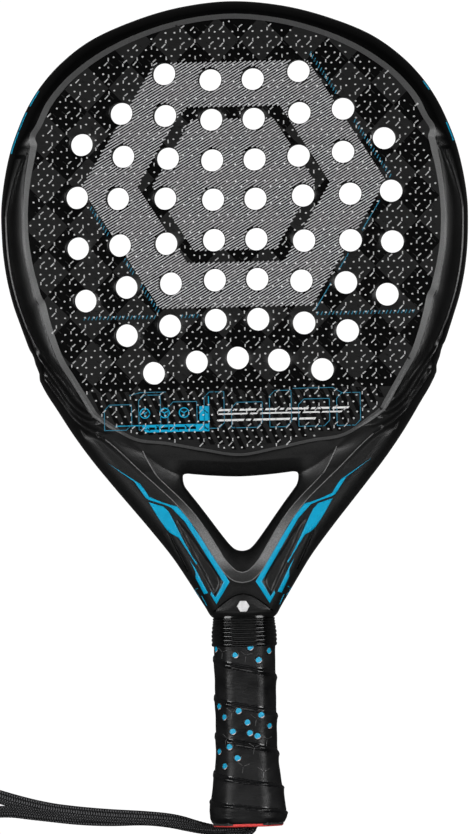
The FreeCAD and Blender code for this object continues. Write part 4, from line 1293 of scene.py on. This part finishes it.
GRIP_TABLE = [
    # station, half width, half depth, front facet half, side facet half
    (339.0, 17.1, 16.0, 9.5, 7.5), (400.0, 17.1, 16.0, 9.5, 7.5), (412.0, 17.2, 16.1, 9.5, 7.5),
    (420.0, 17.7, 16.4, 9.7, 7.6), (430.0, 19.0, 17.2, 10.2, 8.1), (438.0, 20.3, 18.1, 10.7, 8.6),
    (446.0, 21.4, 18.9, 11.0, 9.0), (450.5, 21.3, 18.7, 11.0, 9.0), (453.2, 20.2, 17.8, 10.6, 8.6),
    (454.3, 18.9, 16.6, 10.0, 8.0),
]


def grip_radius(station, angle, extra=0.0):
    rows = np.array(GRIP_TABLE)
    values = [np.interp(station, rows[:, 0], rows[:, column]) for column in range(1, 5)]
    return grip_section(angle, *values) + extra


def turned_mesh(stations, angles, radius):
    """Points of a surface wound round the handle axis; radius is one row per station."""
    x = radius * np.cos(angles)[None, :]
    z = MIDDLE + radius * np.sin(angles)[None, :]
    y = np.repeat((HEAD_TOP - np.asarray(stations))[:, None], len(angles), axis=1)
    return np.stack([x, y, z], axis=2).reshape(-1, 3)


def lap_phase(station, angle):
    """Position across the tape's width, 0 at its exposed edge, for a clockwise winding."""
    turn = (np.asarray(angle) - math.pi / 2) / (2 * math.pi)
    laps = np.interp(station, [345.0, 366.3, 387.8, 408.6, 429.4, 443.6, 458.0], range(7))
    return (laps + turn) % 1.0


def lap_height(phase):
    """Height of the tape over the turn below it: a rounded bead at its edge, then a slow fall."""
    return (0.8 * np.exp(-phase * 3.0) * step(phase, 0.0, 0.045)
            + 0.28 * np.exp(-((phase - 0.075) / 0.035) ** 2))


def make_overgrip():
    """Overgrip wound down the handle; each turn laps over the one before it with a rounded edge."""
    around = 208
    angles = 2 * np.pi * np.arange(around) / around
    stations = np.concatenate([np.arange(355.0, 452.0, 0.42), [452.4, 453.0, 453.6, 454.0, 454.3]])
    grid_s, grid_a = np.meshgrid(stations, angles, indexing="ij")
    phase = lap_phase(grid_s, grid_a)
    lip = lap_height(phase)
    pull = 0.12 * np.sin(2 * np.pi * (phase * 2.0 + grid_a * 0.5)) * (1 - phase)
    low = 0.05 * np.sin(grid_a * 5 + grid_s * 0.31) + 0.04 * np.sin(grid_a * 9 - grid_s * 0.6)
    radius = grip_radius(grid_s, grid_a) - 0.35 + lip + pull * 0.6 + low
    radius -= 0.5 * step(grid_s, 452.0, 454.3)
    wrap = add_tube("overgrip_wrap", stations, angles, radius, radius - 0.9, ["tape", "tape_edge"],
                    "overgrip")
    for polygon in wrap.data.polygons:
        row, column = divmod(polygon.vertices[0], around)
        if row < len(stations) and (phase[row, column] < 0.16 or phase[row, column] > 0.97):
            polygon.material_index = 1
    return wrap


def ring_round(station, angle, scale, lift, turns):
    """Points of the wound grip at a distance and given directions round a spot."""
    return [surface_at(station + scale * math.sin(turn),
                       angle + scale * math.cos(turn) / PERFORATION_BEND, lift) for turn in turns]


def surface_at(station, angle, lift):
    """Point on the wound grip."""
    angle = float(angle)
    phase = lap_phase(station, angle)
    lip = float(lap_height(phase))
    radius = float(grip_radius(station, angle)) - 0.35 + lip + lift
    return np.array([radius * math.cos(angle), HEAD_TOP - station, MIDDLE + radius * math.sin(angle)])


# perforations of the tape as (distance from the centre line, station), front of the handle
PERFORATIONS = [
    (-4.9, 360.2), (3.4, 356.2), (7.9, 363.2), (13.6, 358.4), (-15.6, 356.9), (-14.8, 386.6),
    (-3.8, 389.8), (-11.7, 394.4), (8.7, 392.8), (0.9, 397.4), (-7.2, 402.4), (12.9, 399.6),
    (6.3, 405.0), (-9.4, 409.4), (-15.0, 413.4), (-4.9, 417.0), (-12.1, 421.4), (2.1, 403.3),
]


PERFORATION_BEND = 17.2  # radius over which a perforation's width bends round the grip
PERFORATION_SIDES = 20


def make_perforations():
    """Blue base grip seen through round perforations, with a raised edge and a pale crescent on the lower
    right of each: the cut of the tape with a painted highlight.
    """
    blue, edges, painted_crescent = Solid(), Solid(), Solid()
    rng = random.Random(5)
    fields = [(x, s, 1) for x, s in PERFORATIONS]
    for row in range(16):
        fields.append((rng.uniform(-13.5, 13.5), rng.choice((0, 1)) * 34 + 357 + row * 1.9, -1))
    for x, s, front in fields:
        angle = math.pi / 2 - x / 17.5 if front > 0 else -math.pi / 2 + x / 17.5
        for _ in range(8):
            found = surface_at(s, angle, 0.0)[0]
            angle += (found - x) / 16.0 * (1 if front > 0 else -1)
        phase = float(lap_phase(s, angle))
        if phase < 0.2:
            s += (0.2 - phase) * 18.0
        elif phase > 0.8:
            s -= (phase - 0.8) * 18.0
        count = PERFORATION_SIDES
        turns = [2 * math.pi * n / count for n in range(count)]
        disc = [surface_at(s, angle, 0.12)]
        for scale, lift in ((0.55, 0.12), (1.1, 0.12), (1.64, 0.06)):
            disc += ring_round(s, angle, scale, lift, turns)
        deep = surface_at(s, angle, -0.5)
        inward = deep - surface_at(s, angle, 0.1)
        under = [deep] + [point + inward for point in disc[1:]]
        total = 3 * count + 1
        faces = [(0, 1 + n, 1 + (n + 1) % count) for n in range(count)]
        for ring in (1, 1 + count):
            faces += [(ring + n, ring + count + n, ring + count + (n + 1) % count,
                       ring + (n + 1) % count) for n in range(count)]
        faces += [tuple(total + index for index in face[::-1]) for face in faces]
        last = 1 + 2 * count
        faces += [(last + n, total + last + n, total + last + (n + 1) % count, last + (n + 1) % count)
                  for n in range(count)]
        blue.add(disc + under, faces)
        rim = []
        for turn in turns:
            for scale, lift in ((1.59, 0.02), (1.72, 0.24), (2.0, 0.26), (2.4, 0.0)):
                rim += ring_round(s, angle, scale, lift, [turn])
        faces = []
        for n in range(count):
            m = (n + 1) % count
            for k in range(4):
                faces.append((4 * n + k, 4 * m + k, 4 * m + (k + 1) % 4, 4 * n + (k + 1) % 4))
        edges.add(rim, faces)
        # pale crescent on the lower right of the hole: painted highlight on the tape's cut
        cut, steps = [], 10
        for n in range(steps + 1):
            lean = math.pi * (n / steps - 0.5)
            turn = math.radians(115) + lean * 0.6
            inner = 1.6 - 0.42 * math.cos(lean)
            for scale, lift in ((inner, -0.1), (inner, 0.15), (1.66, 0.2), (1.66, -0.1)):
                cut += ring_round(s, angle, scale, lift, [turn])
        faces = [(0, 1, 2, 3), tuple(4 * steps + k for k in (3, 2, 1, 0))]
        for n in range(steps):
            for k in range(4):
                faces.append((4 * n + k, 4 * n + 4 + k, 4 * n + 4 + (k + 1) % 4, 4 * n + (k + 1) % 4))
        painted_crescent.add(cut, faces)
    piece("grip_perforation_walls", painted_crescent.points, painted_crescent.faces, "tape_backing",
          smooth=False)
    piece("grip_perforations", blue.points, blue.faces, "dot_blue", smooth=False)
    piece("grip_perforation_edges", edges.points, edges.faces, "dot_edge")


TRIPODS = [(1.0, 360.5), (-13.0, 358.5), (-7.5, 391.5), (6.0, 395.5), (-11.0, 406.0), (4.5, 411.0),
           (12.0, 407.0), (-2.0, 421.5), (9.0, 424.5)]


def make_tape_emboss():
    """Raised three-legged marks pressed into alternate turns of the tape."""
    lines = Solid()
    for x, s in TRIPODS + [(x, s + 1.0) for x, s in TRIPODS]:
        front = (x, s) in TRIPODS
        base = math.pi / 2 - x / 17.0 if front else -math.pi / 2 + x / 17.0
        for dx, ds in ((-3.9, -3.0), (4.2, -1.4), (-0.6, 3.5)):
            run = np.array((dx, ds)) / math.hypot(dx, ds)
            side = np.array((-run[1], run[0])) * 0.16
            points = []
            count = 6
            for n in range(count):
                middle = run * (0.5 + n * 0.66)
                for offset, lift in ((side, -0.1), (side * 0.5, 0.13), (-side * 0.5, 0.13), (-side, -0.1)):
                    spot = middle + offset
                    points.append(surface_at(s + spot[1], base - spot[0] / 17.0, lift))
            faces = [(3, 2, 1, 0), tuple(4 * (count - 1) + k for k in range(4))]
            for n in range(count - 1):
                for k in range(4):
                    faces.append((4 * n + k, 4 * n + (k + 1) % 4, 4 * n + 4 + (k + 1) % 4, 4 * n + 4 + k))
            lines.add(points, faces)
    piece("grip_emboss", lines.points, lines.faces, "emboss", smooth=False)


def make_sleeve(name, first, last, extra, thickness, material, node):
    """Plain layer of the handle between two stations."""
    angles = 2 * np.pi * np.arange(96) / 96
    stations = np.arange(first, last + 1.0, 2.0)
    stations[-1] = last
    grid_s, grid_a = np.meshgrid(stations, angles, indexing="ij")
    radius = grip_radius(grid_s, grid_a, extra)
    add_tube(name, stations, angles, radius, radius - thickness, material, node)


def add_tube(name, stations, angles, outer_radius, inner_radius, material, node):
    """Closed tube wound round the handle axis, from its outer and inner radii."""
    around, rows = len(angles), len(stations)
    points = np.vstack([turned_mesh(stations, angles, outer_radius),
                        turned_mesh(stations, angles, inner_radius)])
    faces = [face[::-1] for face in tube_faces(rows, around)]
    faces += tube_faces(rows, around, rows * around)
    offset, last = rows * around, (rows - 1) * around
    for n in range(around):
        m = (n + 1) % around
        faces.append((n, m, offset + m, offset + n))
        faces.append((last + m, last + n, offset + last + n, offset + last + m))
    return piece(name, points, faces, material, (node,))


def make_collar():
    """Ribbed rubber collar: a rounded octagonal sleeve with soft ribs."""
    around = 160
    angles = 2 * np.pi * np.arange(around) / around
    stations = np.linspace(338.6, 355.6, 130)
    grid_s, grid_a = np.meshgrid(stations, angles, indexing="ij")
    count = np.interp(grid_s, [340.0, 344.2, 355.6], [0.0, 3.0, 8.0])
    rib_wave = np.abs(np.sin(np.pi * count)) ** 0.6
    widen = 0.9 * step(grid_s, 340.0, 350.0)
    half_width, half_depth = 16.6 + widen, 15.9 + widen
    radius = grip_section(grid_a, half_width, half_depth, 10.0, 8.4, 12.0)
    radius = radius + 0.6 * rib_wave
    return add_tube("collar_ribs", stations, angles, radius, np.minimum(radius - 0.4, 16.0), "rubber",
                    "ribbed_collar")


def make_butt_plate():
    """Coral end plate with a rounded edge and the strap's slot."""
    around = 96
    angles = 2 * np.pi * np.arange(around) / around
    slot_x, slot_half_x, slot_half_z = 2.1, 4.3, 4.7
    rings = []
    outline_radius = grip_section(angles, 19.4, 17.0, 10.2, 8.2)
    for inset, station in ((0.0, 453.3), (0.0, 454.3), (0.5, 454.9), (1.3, 455.0)):
        radius = outline_radius - inset
        rings.append(np.column_stack([radius * np.cos(angles), np.full(around, HEAD_TOP - station),
                                      MIDDLE + radius * np.sin(angles)]))
    slot_radius = (np.abs(np.cos(angles) / slot_half_x) ** 6
                   + np.abs(np.sin(angles) / slot_half_z) ** 6) ** (-1 / 6)
    for station in (455.0, 453.3):
        rings.append(np.column_stack([slot_x + slot_radius * np.cos(angles),
                                      np.full(around, HEAD_TOP - station),
                                      MIDDLE + slot_radius * np.sin(angles)]))
    faces = oriented(tube_faces(len(rings), around, closed=True), -1)
    plate_piece = piece("butt_end_plate", np.vstack(rings), faces, "coral",
                        ("butt_plate",))
    plate_piece.data.set_sharp_from_angle(angle=math.radians(50))
    return plate_piece


# ------------------------------------------------------------------ wrist strap
STRAP_ROUTE = [
    (0.5, -223.9, 19.0), (0.5, -229.1, 19.0), (-7.5, -229.3, 17.4), (-17.0, -229.4, 12.4),
    (-28.0, -227.4, 7.2), (-40.0, -224.2, 4.7), (-57.0, -222.2, 4.3), (-76.0, -220.9, 4.2),
    (-95.0, -218.9, 4.0), (-113.0, -216.2, 3.2), (-137.0, -209.4, 2.0), (-166.0, -199.0, 1.6),
    (-196.0, -192.4, 1.6), (-226.0, -193.4, 1.6), (-250.0, -201.6, 1.6), (-263.0, -214.6, 2.4),
    (-261.0, -228.6, 3.4), (-245.0, -236.6, 3.9), (-220.0, -235.0, 3.9), (-191.0, -229.0, 3.9),
    (-163.0, -220.8, 3.9), (-137.0, -216.2, 3.9), (-116.0, -219.4, 3.4), (-95.0, -221.8, 1.9),
    (-76.0, -223.0, 1.4), (-58.0, -222.6, 1.3), (-44.0, -224.2, 1.4), (-33.0, -227.0, 3.4),
    (-22.0, -229.9, 7.6), (-10.5, -231.7, 13.4), (3.7, -232.1, 17.8), (3.7, -223.9, 19.0),
]
STRAP_WIDTH = 7.6
STRAP_THICKNESS = 2.5
STRAP_SPAN = 575.0
# how far the strap stands up on its edge, in degrees, at a distance along it in millimetres
STRAP_TILT = [(0, 90), (14, 84), (34, 58), (56, 12), (70, 0), (180, 0), (235, 60), (262, 80),
              (380, 70), (412, 38), (452, 34), (476, 4), (512, 4), (530, 30), (550, 80), (575, 90)]


def strap_line():
    """Points along the strap's middle, read from the route's own curve."""
    curve = bpy.data.curves.new("strap_route", "CURVE")
    curve.dimensions = "3D"
    spline = curve.splines.new("NURBS")
    spline.points.add(len(STRAP_ROUTE) - 1)
    for point, place in zip(spline.points, STRAP_ROUTE):
        point.co = (*[value * MM for value in place], 1.0)
    spline.order_u = 3
    spline.use_endpoint_u = True
    spline.resolution_u = 12
    holder = bpy.data.objects.new("strap_route", curve)
    bpy.context.collection.objects.link(holder)
    mesh = bpy.data.meshes.new_from_object(holder)
    line = np.array([tuple(vertex.co) for vertex in mesh.vertices])
    bpy.data.objects.remove(holder)
    bpy.data.curves.remove(curve)
    bpy.data.meshes.remove(mesh)
    return line


def make_strap():
    """Flat knitted band along the strap's curve, turning on its edge where the table says."""
    line = strap_line()
    runs = np.linalg.norm(np.diff(line, axis=0), axis=1)
    along = np.concatenate([[0], np.cumsum(runs)])
    length = along[-1]
    even = np.arange(0, length, 0.0009)
    centre = np.column_stack([np.interp(even, along, line[:, axis]) for axis in range(3)]) / MM
    ahead = np.gradient(centre, axis=0)
    ahead /= np.linalg.norm(ahead, axis=1)[:, None]
    level = np.cross(np.array([0.0, 0.0, 1.0]), ahead)
    level /= np.linalg.norm(level, axis=1)[:, None]
    rising = np.cross(ahead, level)
    tilt = np.radians(np.interp(even / length * STRAP_SPAN, *np.array(STRAP_TILT).T))[:, None]
    kernel = np.ones(9) / 9
    wide = level * np.cos(tilt) + rising * np.sin(tilt)
    wide = np.column_stack([np.convolve(np.pad(wide[:, k], 4, mode="edge"), kernel, mode="valid")
                            for k in range(3)])
    wide /= np.linalg.norm(wide, axis=1)[:, None]
    thick = np.cross(ahead, wide)
    around = 28
    angles = 2 * np.pi * np.arange(around) / around
    ribs = 0.09 * np.cos(angles * 9)
    profile_w = np.sign(np.cos(angles)) * np.abs(np.cos(angles)) ** 0.55 * STRAP_WIDTH / 2
    profile_t = np.sign(np.sin(angles)) * np.abs(np.sin(angles)) ** 0.6 * (STRAP_THICKNESS / 2) + ribs
    stitch = 0.10 * np.sin(2 * np.pi * even / 0.0021)[:, None] * np.sign(profile_t)[None, :]
    position = even / length * STRAP_SPAN
    swell = 1 + 0.32 * (1 - step(position, 16.0, 40.0)) + 0.32 * step(position, 535.0, 560.0)
    points = (centre[:, None, :] + wide[:, None, :] * profile_w[None, :, None]
              + thick[:, None, :] * ((profile_t[None, :] + stitch) * swell[:, None])[:, :, None])
    points[:, :, 2] = np.maximum(points[:, :, 2], 0.02)
    rows = len(even)
    faces = tube_faces(rows, around)
    faces.append(tuple(range(around))[::-1])
    faces.append(tuple((rows - 1) * around + n for n in range(around)))
    strap = piece("wrist_strap_band", points.reshape(-1, 3), faces, "knit",
                  ("wrist_strap",))
    layer = strap.data.uv_layers.new(name="strap").data
    edge_way = np.cumsum(np.hypot(np.diff(profile_w, append=profile_w[0]),
                                  np.diff(profile_t, append=profile_t[0]))) * MM
    for loop in strap.data.loops:
        row, column = divmod(loop.vertex_index, around)
        layer[loop.index].uv = (even[row], edge_way[column])


# ------------------------------------------------------------------ carried-over solids
CAD_MATERIALS = {
    "foam_core": "foam", "left_tube_tail": "plastic", "right_tube_tail": "plastic",
    "handle_core": "filler", "butt_cap": "plastic", "strap_knot": "knit",
    "left_weight_socket": "plastic", "right_weight_socket": "plastic",
    "left_threaded_insert": "brass", "right_threaded_insert": "brass",
    "left_weight": "weight", "right_weight": "weight",
    "left_weight_screw": "steel", "right_weight_screw": "steel",
}


def dress_cad_nodes():
    for node, material in CAD_MATERIALS.items():
        held = bpy.data.objects[node]
        if not held.material_slots:
            held.data.materials.append(MATERIALS[material])
        for slot in held.material_slots:
            slot.material = MATERIALS[material]


# ------------------------------------------------------------------ studio
def seen_and_lit(tree, lit, seen, output):
    """Plain white to the camera's own rays, and dim to the rays that light the racket."""
    path = tree.nodes.new("ShaderNodeLightPath")
    mix = tree.nodes.new("ShaderNodeMixShader")
    out = tree.nodes.new(output)
    tree.links.new(path.outputs["Is Camera Ray"], mix.inputs["Fac"])
    tree.links.new(lit, mix.inputs[1])
    tree.links.new(seen, mix.inputs[2])
    tree.links.new(mix.outputs["Shader"], out.inputs["Surface"])


def make_floor():
    mesh = bpy.data.meshes.new("floor")
    reach = 12.0
    mesh.from_pydata([(-reach, -reach, FLOOR), (reach, -reach, FLOOR), (reach, reach, FLOOR),
                      (-reach, reach, FLOOR)], [], [(0, 1, 2, 3)])
    floor = bpy.data.objects.new("floor", mesh)
    bpy.context.collection.objects.link(floor)
    material = bpy.data.materials.new("floor_white")
    material.use_nodes = True
    tree = material.node_tree
    tree.nodes.clear()
    matte = tree.nodes.new("ShaderNodeBsdfDiffuse")
    matte.inputs["Color"].default_value = (0.08, 0.08, 0.08, 1.0)
    glow = tree.nodes.new("ShaderNodeEmission")
    glow.inputs["Color"].default_value = (1.0, 1.0, 1.0, 1.0)
    glow.inputs["Strength"].default_value = 1.05
    seen_and_lit(tree, matte.outputs["BSDF"], glow.outputs["Emission"], "ShaderNodeOutputMaterial")
    mesh.materials.append(material)


def make_world():
    world = bpy.data.worlds.new("studio")
    world.use_nodes = True
    tree = world.node_tree
    tree.nodes.clear()
    dim = tree.nodes.new("ShaderNodeBackground")
    dim.inputs["Color"].default_value = (0.9, 0.95, 1.0, 1.0)
    dim.inputs["Strength"].default_value = 0.03
    pale = tree.nodes.new("ShaderNodeBackground")
    pale.inputs["Color"].default_value = (0.95, 0.95, 0.95, 1.0)
    seen_and_lit(tree, dim.outputs["Background"], pale.outputs["Background"], "ShaderNodeOutputWorld")
    bpy.context.scene.world = world
    bpy.context.scene.view_settings.view_transform = "Standard"


def make_light(name, place, width, height, power):
    data = bpy.data.lights.new(name, "AREA")
    data.shape = "RECTANGLE"
    data.size, data.size_y = width, height
    data.energy = power
    light = bpy.data.objects.new(name, data)
    light.location = place
    light.rotation_euler = Vector(place).to_track_quat("Z", "Y").to_euler()
    bpy.context.collection.objects.link(light)


def make_lights():
    """Four soft boxes round the racket, high enough to catch surfaces that lean a little."""
    make_light("left_box", (-1.05, 0.0, 1.25), 0.34, 1.4, 17.5)
    make_light("right_box", (1.05, 0.0, 1.25), 0.34, 1.4, 17.0)
    make_light("head_box", (0.0, 1.2, 1.3), 0.9, 0.3, 1.2)
    make_light("butt_box", (0.0, -1.2, 1.3), 0.9, 0.3, 2.0)


# ------------------------------------------------------------------ everything
clear_scene_defaults()
make_camera()
make_strap()
make_frame_shell()
make_frame_filling()
for side_name, outward in (("front", 1), ("back", -1)):
    make_face_skin(f"{side_name}_face_skin", outward)
    make_texture(f"{side_name}_texture", outward)
    make_hatch(f"{side_name}_hatch", outward)
    make_teal_print(f"{side_name}_teal_print", outward)
    make_dark_bars(f"{side_name}_dark_bars", outward)
    make_blue_badge(f"{side_name}_blue_badge", outward)
    make_white_marks(f"{side_name}_white_marks", outward)
    make_frame_graphics(f"{side_name}_frame_graphics", outward)
    make_yoke_mark(f"{side_name}_yoke_mark", outward)
    make_frame_lines(f"{side_name}_frame_lines", outward)
make_overgrip()
make_sleeve("base_grip_layer", 340.0, 453.0, -1.35, 1.0, "tape", "base_grip")
make_sleeve("finishing_tape_band", 340.5, 355.4, -0.95, 0.3, "plastic",
            "finishing_tape")
make_perforations()
make_tape_emboss()
make_collar()
make_butt_plate()
dress_cad_nodes()
make_floor()
make_world()
make_lights()
